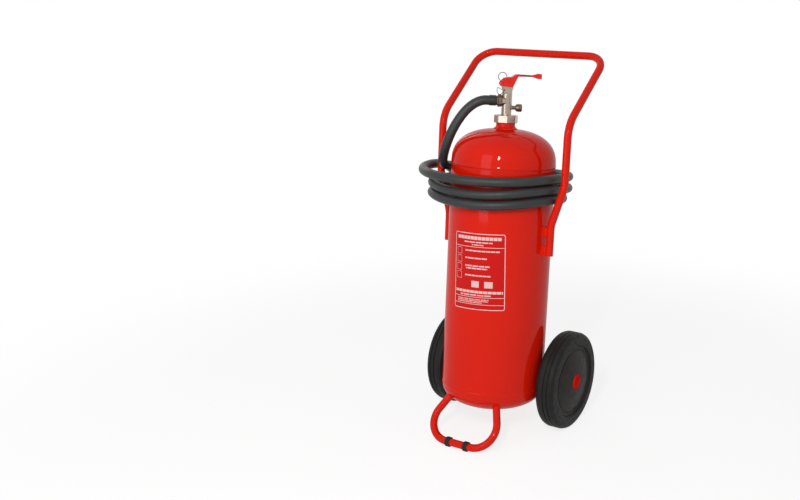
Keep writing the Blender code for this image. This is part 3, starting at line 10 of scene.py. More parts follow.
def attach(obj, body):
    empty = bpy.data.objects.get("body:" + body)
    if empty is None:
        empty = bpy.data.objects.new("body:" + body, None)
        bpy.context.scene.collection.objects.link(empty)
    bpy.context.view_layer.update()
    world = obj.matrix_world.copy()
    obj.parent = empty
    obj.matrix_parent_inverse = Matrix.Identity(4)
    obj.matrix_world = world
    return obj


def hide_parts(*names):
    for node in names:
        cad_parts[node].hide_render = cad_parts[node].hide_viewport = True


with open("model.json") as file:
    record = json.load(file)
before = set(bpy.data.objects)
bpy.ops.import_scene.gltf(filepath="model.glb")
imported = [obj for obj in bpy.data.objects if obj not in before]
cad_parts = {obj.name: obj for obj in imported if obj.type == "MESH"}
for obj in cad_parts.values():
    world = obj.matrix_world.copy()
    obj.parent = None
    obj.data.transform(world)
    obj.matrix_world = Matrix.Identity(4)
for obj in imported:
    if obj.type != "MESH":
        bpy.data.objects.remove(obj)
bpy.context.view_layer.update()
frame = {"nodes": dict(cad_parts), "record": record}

NODES = frame["nodes"]
BODY_OF = {node: body for body, nodes in frame["record"]["behaviour"]["bodies"].items()
           for node in nodes}

# ---------------- places shared with the part
SEAT_GAP = 0.0003                 # left between two pieces that touch
TANK_RADIUS = 0.150
TANK_WALL = 0.003
TANK_BOTTOM_Z = 0.0691
TANK_TOP_Z = 0.7181
HEAD_TOP = (0.1004, 2.5)          # depth and power of the dished head
HEAD_BOTTOM = (0.0691, 2.3)
SEAM_HALF = 0.0035                # half the width of the circumferential weld beads
SEAM_HEIGHT = 0.0007
CROWN_Z = TANK_TOP_Z + HEAD_TOP[0]
NECK_TOP_Z = 0.8470
NECK_RADIUS = 0.0272
NECK_BORE_RADIUS = 0.0170
NECK_HOLE_RADIUS = 0.0205         # hole in the head that the neck's spigot drops into
NECK_SPIGOT_LENGTH = 0.010
TUBE_RADIUS = 0.011
TUBE_BORE_RADIUS = 0.009
TUBE_BORE_DEPTH = 0.025
HANDLE_Y = -0.0117
ARM_LOW_X = 0.1715
ARM_JOG = 0.0354                  # the arms step outwards to make room for the hose
ARM_END_Z = 0.4743
LUG_HEIGHTS = (("low", 0.4873), ("high", 0.5423))
FOOT_CORNER = Vector((0.1364, -0.1782, -0.0773))
FOOT_LEG = Vector((-0.0638, 0.0823, 0.1216))      # from a corner of the foot to the bottom head
FOOT_BEND = 0.062
FOOT_PAD_X = 0.030
FOOT_PAD_HALF = 0.007
FOOT_PAD_WALL = 0.003
WHEEL_Y = 0.1072
WHEEL_Z = 0.0837
WHEEL_MIDDLE_X = 0.19075
WHEEL_RADIUS = 0.1448
WHEEL_HALF = 0.02955
LEAN = 0.104007                   # wheels and foot both reach the floor
CENTRE_SHIFT = -0.054833
FLOOR_SHIFT = 0.072682
VALVE_TURN = math.radians(42)     # the lever and gauge point this way, the outlet the other way
PIVOT_UP = 0.1055                 # lever's pivot above the neck
GAUGE_Z = 0.0309

STAND = (Matrix.Translation((0.0, CENTRE_SHIFT, FLOOR_SHIFT))
         @ Matrix.Rotation(-LEAN, 4, "X"))
VALVE = (STAND @ Matrix.Translation((0.0, 0.0, NECK_TOP_Z))
         @ Matrix.Rotation(VALVE_TURN, 4, "Z"))
GUN = STAND @ Matrix.Translation((0.020, 0.184, 0.352))
TO_X = Matrix.Rotation(math.pi / 2, 4, "Y")       # turns a piece's own Z to +X
TO_MINUS_X = Matrix.Rotation(-math.pi / 2, 4, "Y")

# ---------------- camera
TARGET = Vector((0.0852, -0.0602, 0.5612))
AZIMUTH = math.radians(30.60)
ELEVATION = math.radians(16.09)
DISTANCE = 2.8164

camera = bpy.data.objects.new("camera", bpy.data.cameras.new("camera"))
bpy.context.scene.collection.objects.link(camera)
bpy.context.scene.camera = camera
camera.data.lens = 44.9
camera.data.sensor_width = 36.0
camera.data.shift_x = -0.14375
camera.location = TARGET + DISTANCE * Vector((
    math.sin(AZIMUTH) * math.cos(ELEVATION), -math.cos(AZIMUTH) * math.cos(ELEVATION),
    math.sin(ELEVATION)))
camera.rotation_euler = (TARGET - camera.location).to_track_quat("-Z", "Y").to_euler()


# ---------------- material nodes
def feed(tree, socket, value):
    """Link another node's socket into a socket, or set it to a plain value."""
    if hasattr(value, "is_output"):
        tree.links.new(value, socket)
    else:
        socket.default_value = value


def add(tree, kind, settings=None, **inputs):
    """A node with its settings and its inputs, by name with _ for a space."""
    node = tree.nodes.new(kind)
    for key, value in (settings or {}).items():
        setattr(node, key, value)
    for key, value in inputs.items():
        feed(tree, node.inputs[key.replace("_", " ")], value)
    return node


def maths(tree, operation, first, second=0.0, third=0.0):
    """Result socket of a Math node."""
    node = tree.nodes.new("ShaderNodeMath")
    node.operation = operation
    for socket, value in zip(node.inputs, (first, second, third)):
        feed(tree, socket, value)
    return node.outputs[0]


def times(tree, first, second):
    """Result socket of a product."""
    return maths(tree, "MULTIPLY", first, second)


def noise(tree, vector, scale, detail=3.0, roughness=0.5):
    """Value socket of a noise texture."""
    return add(tree, "ShaderNodeTexNoise", Scale=scale, Detail=detail, Roughness=roughness,
               Vector=vector).outputs["Fac"]


def ranged(tree, value, low, high, to_low, to_high):
    """A value eased from one range into another."""
    return add(tree, "ShaderNodeMapRange", {"interpolation_type": "SMOOTHSTEP"}, Value=value,
               From_Min=low, From_Max=high, To_Min=to_low, To_Max=to_high).outputs[0]


def hypotenuse(tree, first, second):
    """Length of a vector of two parts."""
    return maths(tree, "SQRT", maths(tree, "ADD", times(tree, first, first),
                                     times(tree, second, second)))


def mixed(tree, share, first, second):
    """Colour between two colours or sockets."""
    node = tree.nodes.new("ShaderNodeMix")
    node.data_type = "RGBA"
    feed(tree, node.inputs[0], share)
    for socket, colour in ((node.inputs[6], first), (node.inputs[7], second)):
        feed(tree, socket, colour if hasattr(colour, "is_output") else (*colour, 1.0))
    return node.outputs[2]


def mixed_shader(tree, share, first, second):
    """Shader node between the shaders of two others."""
    node = add(tree, "ShaderNodeMixShader", Fac=share)
    tree.links.new(first.outputs[0], node.inputs[1])
    tree.links.new(second.outputs[0], node.inputs[2])
    return node


def lathe_vector(tree, position, stretch):
    """Coordinates that run only across a turned piece, so that noise makes turning marks."""
    x, y, z = add(tree, "ShaderNodeSeparateXYZ", Vector=position).outputs
    return add(tree, "ShaderNodeCombineXYZ",
               X=times(tree, hypotenuse(tree, x, y), stretch),
               Y=times(tree, z, stretch), Z=0.0).outputs[0]


def raise_relief(tree, shader, strength, depth, height):
    """Let a shader show a height as relief."""
    relief = add(tree, "ShaderNodeBump", Strength=strength, Distance=depth, Height=height)
    tree.links.new(relief.outputs[0], shader.inputs["Normal"])


def new_material(name):
    """A material, its node tree and its shader."""
    made = bpy.data.materials.new(name)
    made.use_nodes = True
    return made, made.node_tree, made.node_tree.nodes["Principled BSDF"]


def surface(name, colour, rough, shade, shade_scale, metal=0.0, coat=0.0, coat_rough=0.05,
            coat_ior=1.5, specular=0.5, rough_span=0.05, dust=None, dust_share=0.0, bump=0.0,
            bump_scale=400.0, bump_detail=2.0, turned=0.0):
    """A finish whose colour, gloss and relief vary a little over the piece.

    shade is how dark the darkest patches are and dust a paler film in patches. The relief is
    bump, the depth of a fine grain, or turned, of turning marks round the piece's own Z.
    """
    made, tree, shader = new_material(name)
    place = add(tree, "ShaderNodeTexCoord").outputs["Object"]
    patches = noise(tree, place, shade_scale, 4.0, 0.55)
    tone = mixed(tree, ranged(tree, patches, 0.3, 0.7, 0.0, 1.0),
                 tuple(part * shade for part in colour), colour)
    if dust:
        film = ranged(tree, noise(tree, place, shade_scale * 4.0, 5.0, 0.65), 0.45, 0.8, 0.0,
                      dust_share)
        tone = mixed(tree, film, tone, dust)
    tree.links.new(tone, shader.inputs["Base Color"])
    gloss = noise(tree, place, shade_scale * 5.0, 3.0)
    tree.links.new(ranged(tree, gloss, 0.3, 0.7, rough - rough_span, rough + rough_span),
                   shader.inputs["Roughness"])
    for socket, value in (("Metallic", metal), ("Coat Weight", coat), ("Coat IOR", coat_ior),
                          ("Coat Roughness", coat_rough), ("Specular IOR Level", specular)):
        shader.inputs[socket].default_value = value
    if bump:
        raise_relief(tree, shader, 0.6, bump, noise(tree, place, bump_scale, bump_detail))
    if turned:
        marks = noise(tree, lathe_vector(tree, place, 1800.0), 1.0, 3.0, 0.7)
        raise_relief(tree, shader, 0.5, turned, marks)
    return made


ENAMEL = surface("red_enamel_gloss", (0.70, 0.0110, 0.0015), 0.32, coat=0.52, coat_rough=0.050,
                 shade=0.96, shade_scale=5.0, rough_span=0.02, bump=0.000005, bump_scale=160.0,
                 specular=0.0, coat_ior=1.33)
CAST_RED = surface("cast_lever_red", (0.74, 0.017, 0.010), 0.36, coat=0.3, coat_rough=0.12,
                   shade=0.84, shade_scale=70.0, bump=0.00003, bump_scale=700.0, specular=0.1)
# darker copy of the cast red: painted shade on the lever's thin shank, the same paint as the rest
SHANK_PAINTED_SHADE = surface("cast_lever_shank_painted_shade", (0.30, 0.020, 0.015), 0.42, coat=0.2, coat_rough=0.15,
                     shade=0.70, shade_scale=90.0, bump=0.00003, bump_scale=700.0, specular=0.1)
CAP_RED = surface("moulded_cap_red", (0.68, 0.016, 0.011), 0.45, shade=0.9, shade_scale=60.0,
                  bump=0.00002, bump_scale=1200.0, specular=0.0)
NICKEL = surface("nickel_plated", (0.42, 0.345, 0.29), 0.21, metal=1.0, shade=0.84,
                 shade_scale=45.0, rough_span=0.04, turned=0.00003)
BRONZED = surface("dull_nickel", (0.205, 0.145, 0.105), 0.34, metal=1.0, shade=0.74,
                  shade_scale=70.0, rough_span=0.07, bump=0.00006, bump_scale=1400.0)
DARK_STEEL = surface("blued_steel_wire", (0.075, 0.070, 0.072), 0.36, metal=1.0, shade=0.8,
                     shade_scale=90.0, rough_span=0.06, bump=0.00002, bump_scale=1800.0)
BRASS = surface("plain_brass", (0.60, 0.43, 0.17), 0.30, metal=1.0, shade=0.85, shade_scale=60.0,
                turned=0.00005)
ZINC = surface("zinc_plated_steel", (0.56, 0.56, 0.58), 0.32, metal=1.0, shade=0.82,
               shade_scale=80.0, rough_span=0.07, bump=0.00003, bump_scale=1600.0)
TYRE = surface("tyre_rubber", (0.0135, 0.0128, 0.0126), 0.60, shade=0.80, shade_scale=14.0,
               rough_span=0.06, bump=0.00010, bump_scale=900.0, bump_detail=4.0,
               dust=(0.046, 0.042, 0.038), dust_share=0.16, specular=0.17)
DISC = surface("moulded_wheel_plastic", (0.0240, 0.0200, 0.0190), 0.55, shade=0.88,
               shade_scale=10.0, rough_span=0.05, bump=0.00006, bump_scale=1300.0,
               dust=(0.06, 0.052, 0.048), dust_share=0.10, specular=0.12)
BLACK_RUBBER = surface("black_rubber", (0.014, 0.014, 0.0145), 0.62, shade=0.8, shade_scale=60.0,
                       bump=0.00008, bump_scale=1500.0, specular=0.25)
PLASTIC = surface("dark_plastic", (0.022, 0.022, 0.023), 0.48, shade=0.85, shade_scale=50.0,
                  bump=0.00006, bump_scale=1500.0, specular=0.3)
NYLON = surface("white_nylon", (0.78, 0.77, 0.73), 0.45, shade=0.94, shade_scale=60.0,
                bump=0.00004, bump_scale=1500.0)


HOSE_LAP_PITCH = 0.034            # of the wrapping's spiral
HOSE_CLOTH_PITCH = 0.0011
HOSE_CLOTH_COUNT = 76             # threads round the hose
HOSE_RELIEF = 0.00035


def hose_material():
    """Black rubber cover with the faint spiral and cloth marks of a wrapped hose."""
    made = surface("hose_rubber", (0.0300, 0.0315, 0.0322), 0.46, shade=0.84, shade_scale=18.0,
                   rough_span=0.05, dust=(0.040, 0.042, 0.044), dust_share=0.16, specular=0.32)
    tree = made.node_tree
    shader = tree.nodes["Principled BSDF"]
    along, around, _ = add(tree, "ShaderNodeSeparateXYZ", Vector=add(
        tree, "ShaderNodeUVMap", {"uv_map": "run"}).outputs[0]).outputs
    laps = maths(tree, "ADD", times(tree, along, 1 / HOSE_LAP_PITCH), around)
    turns = maths(tree, "FRACT", laps)
    lap = ranged(tree, maths(tree, "ABSOLUTE", maths(tree, "SUBTRACT", turns, 0.5)), 0.0, 0.045,
                 0.0, 1.0)
    cloth = times(tree, maths(tree, "SINE", times(tree, along, math.tau / HOSE_CLOTH_PITCH)),
                  maths(tree, "SINE", times(tree, around, math.tau * HOSE_CLOTH_COUNT)))
    height = maths(tree, "ADD", lap, times(tree, cloth, 0.10))
    raise_relief(tree, shader, 0.55, HOSE_RELIEF, height)
    return made


HOSE_COVER = hose_material()


# ---------------- making pieces
def settle(piece, finish, body, replaced=(), matrix=None, baked=None):
    """Place a piece, give it its finish and body, and let it stand for CAD nodes.

    baked puts the place into the mesh, which the pieces in STAND always do.
    """
    baked = matrix is STAND if baked is None else baked
    if matrix is not None and baked:
        piece.data.transform(matrix)
    elif matrix is not None:
        piece.matrix_world = matrix
    piece.data.materials.clear()
    piece.data.materials.append(finish)
    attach(piece, body)
    if replaced:
        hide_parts(*replaced)


def shown_piece(name, mesh, shape, crease):
    """The object of a bmesh, with outward faces, smooth except at its edges."""
    bmesh.ops.recalc_face_normals(shape, faces=shape.faces)
    shape.to_mesh(mesh)
    shape.free()
    mesh.shade_smooth()
    mesh.set_sharp_from_angle(angle=math.radians(crease))
    made = bpy.data.objects.new(name, mesh)
    bpy.context.scene.collection.objects.link(made)
    return made


def mesh_piece(name, points, faces, crease):
    """The object of points and faces."""
    mesh = bpy.data.meshes.new(name)
    mesh.from_pydata([tuple(point) for point in points], [], faces)
    shape = bmesh.new()
    shape.from_mesh(mesh)
    return shown_piece(name, mesh, shape, crease)


def filleted(corners, closed=True, steps=4):
    """Section of (radius, height, fillet) corners with each corner rounded."""
    count = len(corners)
    section = []
    for i, (x, y, fillet) in enumerate(corners):
        corner = Vector((x, y))
        if fillet == 0 or (not closed and i in (0, count - 1)):
            section.append((x, y))
            continue
        before = Vector(corners[i - 1][:2]) - corner
        after = Vector(corners[(i + 1) % count][:2]) - corner
        half = before.angle(after) / 2
        run = min(fillet / math.tan(half), before.length * 0.48, after.length * 0.48)
        centre = corner + (before.normalized() + after.normalized()).normalized() * (
            run / math.cos(half))
        start = corner + before.normalized() * run - centre
        end = corner + after.normalized() * run - centre
        turn = math.atan2(start.x * end.y - start.y * end.x, start.dot(end))
        for step in range(steps + 1):
            angle = turn * step / steps
            section.append((centre.x + start.x * math.cos(angle) - start.y * math.sin(angle),
                            centre.y + start.x * math.sin(angle) + start.y * math.cos(angle)))
    return section


def lathe(name, section, steps, closed=True):
    """Revolve a section of (radius, height) about Z; a point on Z makes a single vertex."""
    rings = []
    points = []
    for radius, height in section:
        if radius < 1e-6:
            rings.append([len(points)] * steps)
            points.append((0.0, 0.0, height))
            continue
        rings.append(list(range(len(points), len(points) + steps)))
        for step in range(steps):
            angle = math.tau * step / steps
            points.append((radius * math.cos(angle), radius * math.sin(angle), height))
    faces = []
    pairs = list(zip(rings, rings[1:]))
    if closed:
        pairs.append((rings[-1], rings[0]))
    for upper, lower in pairs:
        for i in range(steps):
            j = (i + 1) % steps
            face = [upper[i], upper[j], lower[j], lower[i]]
            face = [index for k, index in enumerate(face) if index != face[k - 1]]
            if len(face) > 2:
                faces.append(face)
    return mesh_piece(name, points, faces, crease=34.0)


def sweep(name, path, radius, sides, closed=False, crease=40.0):
    """A round bar along a path, with lengths and turns as its UV map; radius may be a list."""
    path = np.array([tuple(point) for point in path])
    count = len(path)
    radii = np.broadcast_to(np.asarray(radius, dtype=float), (count,))
    if closed:
        tangents = np.roll(path, -1, axis=0) - np.roll(path, 1, axis=0)
    else:
        tangents = np.gradient(path, axis=0)
    tangents /= np.linalg.norm(tangents, axis=1)[:, None]
    start = np.cross(tangents[0], (0.0, 0.0, 1.0) if abs(tangents[0][2]) < 0.9 else (1.0, 0, 0))
    across = start / np.linalg.norm(start)
    angles = np.arange(sides) * math.tau / sides
    points = []
    for here, tangent, reach in zip(path, tangents, radii):
        across = across - tangent * across.dot(tangent)
        across /= np.linalg.norm(across)
        other = np.cross(tangent, across)
        ring = (np.cos(angles)[:, None] * across + np.sin(angles)[:, None] * other) * reach
        points.extend(here + ring)
    faces = []
    for i in range(count if closed else count - 1):
        low = i * sides
        high = ((i + 1) % count) * sides
        shift = 0
        if closed and i == count - 1:
            gaps = [np.linalg.norm(points[low] - points[high + k]) for k in range(sides)]
            shift = int(np.argmin(gaps))
        for k in range(sides):
            n = (k + 1) % sides
            faces.append([low + k, low + n, high + (n + shift) % sides,
                          high + (k + shift) % sides])
    if not closed:
        faces.append(list(range(sides)))
        faces.append(list(range((count - 1) * sides, count * sides)))
    made = mesh_piece(name, points, faces, crease)
    if not closed:
        walked = np.concatenate([[0], np.cumsum(np.linalg.norm(np.diff(path, axis=0), axis=1))])
        layer = made.data.uv_layers.new(name="run")
        for face in made.data.polygons:
            turns = [made.data.loops[k].vertex_index % sides for k in face.loop_indices]
            wraps = max(turns) == sides - 1 and min(turns) == 0 and len(turns) == 4
            for k, turn in zip(face.loop_indices, turns):
                ring = made.data.loops[k].vertex_index // sides
                turn = sides if wraps and turn == 0 else turn
                layer.data[k].uv = (walked[ring], turn / sides)
    return made


def refined(node, finish, bevel, axis=None, second=None, segments=2):
    """The CAD node's form with rounded edges and smooth curved faces, standing for it.

    axis is a frame whose Z the piece is turned about. second is another finish and the test,
    in that frame, of the faces that take it.
    """
    shape = bmesh.new()
    shape.from_mesh(NODES[node].data)
    bmesh.ops.remove_doubles(shape, verts=shape.verts, dist=0.00002)
    bmesh.ops.dissolve_limit(shape, angle_limit=math.radians(0.5), verts=shape.verts,
                             edges=shape.edges)
    shape.verts.index_update()
    axis = axis or Matrix.Identity(4)
    points = [axis.inverted() @ vertex.co for vertex in shape.verts]
    faces = [[vertex.index for vertex in face.verts] for face in shape.faces]
    shape.free()
    made = mesh_piece(node + "_fine", points, faces, crease=180.0)
    made.matrix_world = axis
    settle(made, finish, BODY_OF[node], [node])
    if second:
        made.data.materials.append(second[0])
        for face in made.data.polygons:
            face.material_index = int(second[1](face.center))
    if bevel > 0:
        rounding = made.modifiers.new("rounded_edges", "BEVEL")
        rounding.width = bevel
        rounding.segments = segments
        rounding.limit_method = "ANGLE"
        rounding.angle_limit = math.radians(33)
        rounding.harden_normals = True


def cut(piece, cutter):
    """Take another object's form out of a piece, and remove that object."""
    step = piece.modifiers.new("cut", "BOOLEAN")
    step.operation = "DIFFERENCE"
    step.solver = "EXACT"
    step.object = cutter
    bpy.context.view_layer.update()
    graph = bpy.context.evaluated_depsgraph_get()
    mesh = bpy.data.meshes.new_from_object(piece.evaluated_get(graph))
    mesh.set_sharp_from_angle(angle=math.radians(40))
    piece.modifiers.clear()
    piece.data = mesh
    bpy.data.objects.remove(cutter, do_unlink=True)


def bent_path(corners, bends):
    """Points along straight runs whose inner corners are rounded by the given bend radii."""
    step_angle = math.radians(4)
    corners = [Vector(corner) for corner in corners]
    path = [corners[0]]
    for before, corner, after, bend in zip(corners, corners[1:], corners[2:], bends):
        inward = (before - corner).normalized()
        outward = (after - corner).normalized()
        half = inward.angle(outward) / 2
        centre = corner + (inward + outward).normalized() * bend / math.sin(half)
        start = corner + inward * bend / math.tan(half) - centre
        turn = math.pi - 2 * half
        steps = math.ceil(turn / step_angle)
        spin = inward.cross(outward)
        for step in range(steps + 1):
            path.append(centre + Matrix.Rotation(-turn * step / steps, 3, spin) @ start)
    path.append(corners[-1])
    return path


def smooth(points, spacing):
    """Points at even steps along a curve of continuous curvature through the given ones."""
    knots = np.array([tuple(point) for point in points])
    spans = np.linalg.norm(np.diff(knots, axis=0), axis=1)
    count = len(knots)
    system = np.eye(count)
    load = np.zeros((count, 3))
    for i in range(1, count - 1):
        before, after = spans[i - 1], spans[i]
        system[i, i - 1:i + 2] = before, 2 * (before + after), after
        load[i] = 6 * ((knots[i + 1] - knots[i]) / after - (knots[i] - knots[i - 1]) / before)
    bending = np.linalg.solve(system, load)
    fine = [knots[0]]
    for i, span in enumerate(spans):
        for t in np.linspace(0, 1, 25)[1:]:
            rest = 1 - t
            fine.append(rest * knots[i] + t * knots[i + 1] + span ** 2 / 6
                        * ((rest ** 3 - rest) * bending[i] + (t ** 3 - t) * bending[i + 1]))
    fine = np.array(fine)
    walked = np.concatenate([[0], np.cumsum(np.linalg.norm(np.diff(fine, axis=0), axis=1))])
    stops = np.linspace(0, walked[-1], round(walked[-1] / spacing) + 1)
    return [Vector(np.interp(stop, walked, fine[:, k]) for k in range(3)) for stop in stops]


# ---------------- hose
HOSE_RADIUS = 0.0135
HOSE_START = 0.0313               # along the outlet, from the valve's axis
FERRULE_LENGTH = 0.0190
HOSE_LEAD = 0.005                 # straight run beyond a sleeve
OUTLET_Z = 0.0492                 # above the neck
HOSE_DESCENT = [
    (-0.0740, -0.0620, 0.8820), (-0.1005, -0.0815, 0.8460), (-0.1240, -0.0950, 0.7940),
    (-0.1440, -0.0915, 0.7460), (-0.1640, -0.0670, 0.7130)]
HOSE_TURNS = [                    # degrees, distance from the axis, height
    (184, 0.1770, 0.6965), (157, 0.1690, 0.6930), (125, 0.1680, 0.6730), (90, 0.1680, 0.6480),
    (60, 0.1680, 0.6350), (30, 0.1745, 0.6285), (-2, 0.1685, 0.6325), (-45, 0.1690, 0.6250),
    (-70, 0.1710, 0.6190), (-95, 0.1765, 0.6180), (-120, 0.1905, 0.6220),
    (-146, 0.2000, 0.6310), (-182, 0.1658, 0.6340), (-205, 0.1785, 0.6370),
    (-225, 0.1960, 0.6400), (-250, 0.2005, 0.6430), (-270, 0.1990, 0.6450),
    (-315, 0.1950, 0.6530), (-362, 0.1690, 0.6610), (-405, 0.1690, 0.6550),
    (-430, 0.1710, 0.6480), (-455, 0.1765, 0.6460), (-480, 0.1905, 0.6500),
    (-506, 0.2000, 0.6592), (-542, 0.1740, 0.6625), (-565, 0.1830, 0.6660),
    (-585, 0.1965, 0.6710), (-610, 0.2005, 0.6770), (-630, 0.1990, 0.6800),
    (-675, 0.1950, 0.6870), (-722, 0.1700, 0.6910), (-765, 0.1690, 0.6860),
    (-805, 0.1760, 0.6820), (-845, 0.2110, 0.6860), (-876, 0.2320, 0.6920),
    (-902, 0.2342, 0.6950)]
HOSE_TAIL = [
    (-0.2325, 0.0700, 0.6810), (-0.2270, 0.1130, 0.6420), (-0.2190, 0.1310, 0.5850),
    (-0.2110, 0.1400, 0.5000), (-0.2020, 0.1480, 0.4100), (-0.1905, 0.1560, 0.3200),
    (-0.1725, 0.1630, 0.2640), (-0.1353, 0.1710, 0.2264), (-0.0835, 0.1780, 0.2125),
    (-0.0318, 0.1830, 0.2264), (0.0061, 0.1840, 0.2643)]


def hose_path():
    """The hose's line from the valve's outlet to the gun, in the object's frame."""
    out = Matrix.Rotation(VALVE_TURN, 3, "Z") @ Vector((-1, 0, 0))
    outlet = Vector((0, 0, NECK_TOP_Z + OUTLET_Z))
    straight = HOSE_START + FERRULE_LENGTH + HOSE_LEAD
    route = [outlet + out * straight, outlet + out * (straight + HOSE_LEAD)]
    route += [Vector(point) for point in HOSE_DESCENT]
    for degrees, reach, height in HOSE_TURNS:
        angle = math.radians(degrees)
        route.append(Vector((reach * math.cos(angle), reach * math.sin(angle), height)))
    route += [Vector(point) for point in HOSE_TAIL]
    inlet = STAND.inverted() @ GUN.translation
    for run in (2 * HOSE_LEAD, HOSE_LEAD):
        route.append(inlet + Vector((0, 0, -(FERRULE_LENGTH + run))))
    path = [outlet + out * HOSE_START] + smooth(route, spacing=0.006) + [inlet]
    return [STAND @ point for point in path]


HOSE_PATH = hose_path()
hose = sweep("hose_run", HOSE_PATH, HOSE_RADIUS, 28)
settle(hose, HOSE_COVER, "cylinder", ["hose"])


# ---------------- cylinder and neck
def head_curve(rim, form, hole, count):
    """(radius, height) points of a dished head from a hole out to the rim."""
    depth, power = form
    start = math.acos(min(hole / rim, 1.0) ** (power / 2))
    points = []
    for i in range(count):
        radius = rim * math.cos(start * (1 - i / count)) ** (2 / power)
        points.append((radius, depth * (1 - (radius / rim) ** power) ** (1 / power)))
    return points


SEAM_RING = 0.006                 # rings this far off keep the beads' shading off the wall
BELOW_SEAM = 0.004                # the bottom head starts under its bead,
BOTTOM_SQUEEZE = 0.942            # and still ends at its own depth


def tank_section():
    """Wall of the hollow cylinder, from the bottom's inside round to its outside."""
    rim = TANK_RADIUS - TANK_WALL
    low = (HEAD_BOTTOM[0] - TANK_WALL, HEAD_BOTTOM[1])
    high = (HEAD_TOP[0] - TANK_WALL, HEAD_TOP[1])
    section = [(r, TANK_BOTTOM_Z - h) for r, h in head_curve(rim, low, 0.0, 16)]
    section += [(rim, TANK_BOTTOM_Z), (rim, TANK_TOP_Z)]
    upper = head_curve(rim, high, NECK_HOLE_RADIUS, 16)[::-1]
    upper += head_curve(TANK_RADIUS, HEAD_TOP, NECK_HOLE_RADIUS, 30)
    section += [(r, TANK_TOP_Z + h) for r, h in upper]
    for seam_z in (TANK_TOP_Z, TANK_BOTTOM_Z):
        for step in range(9):
            angle = math.pi * step / 8
            section.append((TANK_RADIUS + SEAM_HEIGHT * math.sin(angle) ** 2,
                            seam_z + SEAM_HALF * math.cos(angle)))
        if seam_z == TANK_TOP_Z:
            section += [(TANK_RADIUS, TANK_TOP_Z - SEAM_RING),
                        (TANK_RADIUS, TANK_BOTTOM_Z + SEAM_RING)]
    lower = head_curve(TANK_RADIUS, HEAD_BOTTOM, 0.0, 24)[::-1]
    section += [(r, TANK_BOTTOM_Z - BELOW_SEAM - h * BOTTOM_SQUEEZE) for r, h in lower]
    return section


settle(lathe("cylinder_fine", tank_section(), 144, closed=False), ENAMEL, "cylinder",
       ["cylinder_shell"], STAND)
SPIGOT_RADIUS = NECK_HOLE_RADIUS - SEAT_GAP
WELD_REACH = 0.0078               # of the neck's weld on the head
neck = filleted([
    (NECK_BORE_RADIUS, NECK_TOP_Z, 0.0005), (NECK_RADIUS, NECK_TOP_Z, 0.0016),
    (NECK_RADIUS, CROWN_Z + 0.0060, 0.005), (NECK_RADIUS + WELD_REACH, CROWN_Z - 0.0002, 0.003),
    (NECK_RADIUS + WELD_REACH, CROWN_Z - 0.0024, 0.0), (SPIGOT_RADIUS, CROWN_Z - 0.0002, 0.0),
    (SPIGOT_RADIUS, CROWN_Z - NECK_SPIGOT_LENGTH, 0.0),
    (NECK_BORE_RADIUS, CROWN_Z - NECK_SPIGOT_LENGTH, 0.0)])
settle(lathe("neck_fine", neck, 72), ENAMEL, "cylinder", ["neck_ring"], STAND)

# ---------------- handle and foot
ARM_SIDE = [(ARM_LOW_X, HANDLE_Y, ARM_END_Z), (ARM_LOW_X, HANDLE_Y, 0.5601),
            (ARM_LOW_X + ARM_JOG, HANDLE_Y, 0.6741), (ARM_LOW_X + ARM_JOG, HANDLE_Y, 0.8451),
            (0.2100, 0.192, 1.0332)]
ARM_BENDS = [0.070, 0.070, 0.090, 0.055]          # inner radii at the corners, from below
handle_path = bent_path(ARM_SIDE + [(-x, y, z) for x, y, z in reversed(ARM_SIDE)],
                        ARM_BENDS + ARM_BENDS[::-1])
handle = sweep("handle_tube", handle_path, TUBE_RADIUS, 32)
for side in (-1, 1):
    bore = lathe("bore", [(0.0, TUBE_BORE_DEPTH), (TUBE_BORE_RADIUS, TUBE_BORE_DEPTH),
                          (TUBE_BORE_RADIUS, -0.01), (0.0, -0.01)], 32, False)
    bore.matrix_world = Matrix.Translation((side * ARM_LOW_X, HANDLE_Y, ARM_END_Z))
    cut(handle, bore)
settle(handle, ENAMEL, "cylinder", ["handle_frame"], STAND)

foot_side = [FOOT_CORNER + FOOT_LEG, FOOT_CORNER]
foot_path = bent_path(foot_side + [Vector((-p.x, p.y, p.z)) for p in reversed(foot_side)],
                      [FOOT_BEND, FOOT_BEND])
foot = sweep("foot_tube", foot_path, TUBE_RADIUS, 32)
OUTSIDE_FIRST = 55                # in tank_section, a point outside on the top head
outside = [(r + SEAT_GAP, z) for r, z in tank_section()[OUTSIDE_FIRST:]]
hollow = lathe("hollow", outside, 144, False)
shape = bmesh.new()
shape.from_mesh(hollow.data)
bmesh.ops.holes_fill(shape, edges=[edge for edge in shape.edges if edge.is_boundary], sides=0)
bmesh.ops.recalc_face_normals(shape, faces=shape.faces)
shape.to_mesh(hollow.data)
shape.free()
cut(foot, hollow)
settle(foot, ENAMEL, "cylinder", ["foot_loop"], STAND)


FOOT_WELD = 0.0026
LUG_WELD = 0.0018
WELD_RIPPLE = (0.10, 2.4)         # share of the bead's radius, and radians from point to point


def weld_bead(name, loop, radius):
    """A painted weld bead along a closed line, with the ripple of its runs."""
    loop = list(loop)
    share, pace = WELD_RIPPLE
    reach = [radius * (1 + share * math.sin(pace * i)) for i in range(len(loop))]
    settle(sweep(name, loop, reach, 10, closed=True, crease=180.0), ENAMEL, "cylinder",
           matrix=STAND)


def bottom_height(radius):
    """Height of the bottom head's outside at a radius."""
    depth, power = HEAD_BOTTOM
    return TANK_BOTTOM_Z - depth * (1 - min(radius / TANK_RADIUS, 1.0) ** power) ** (1 / power)


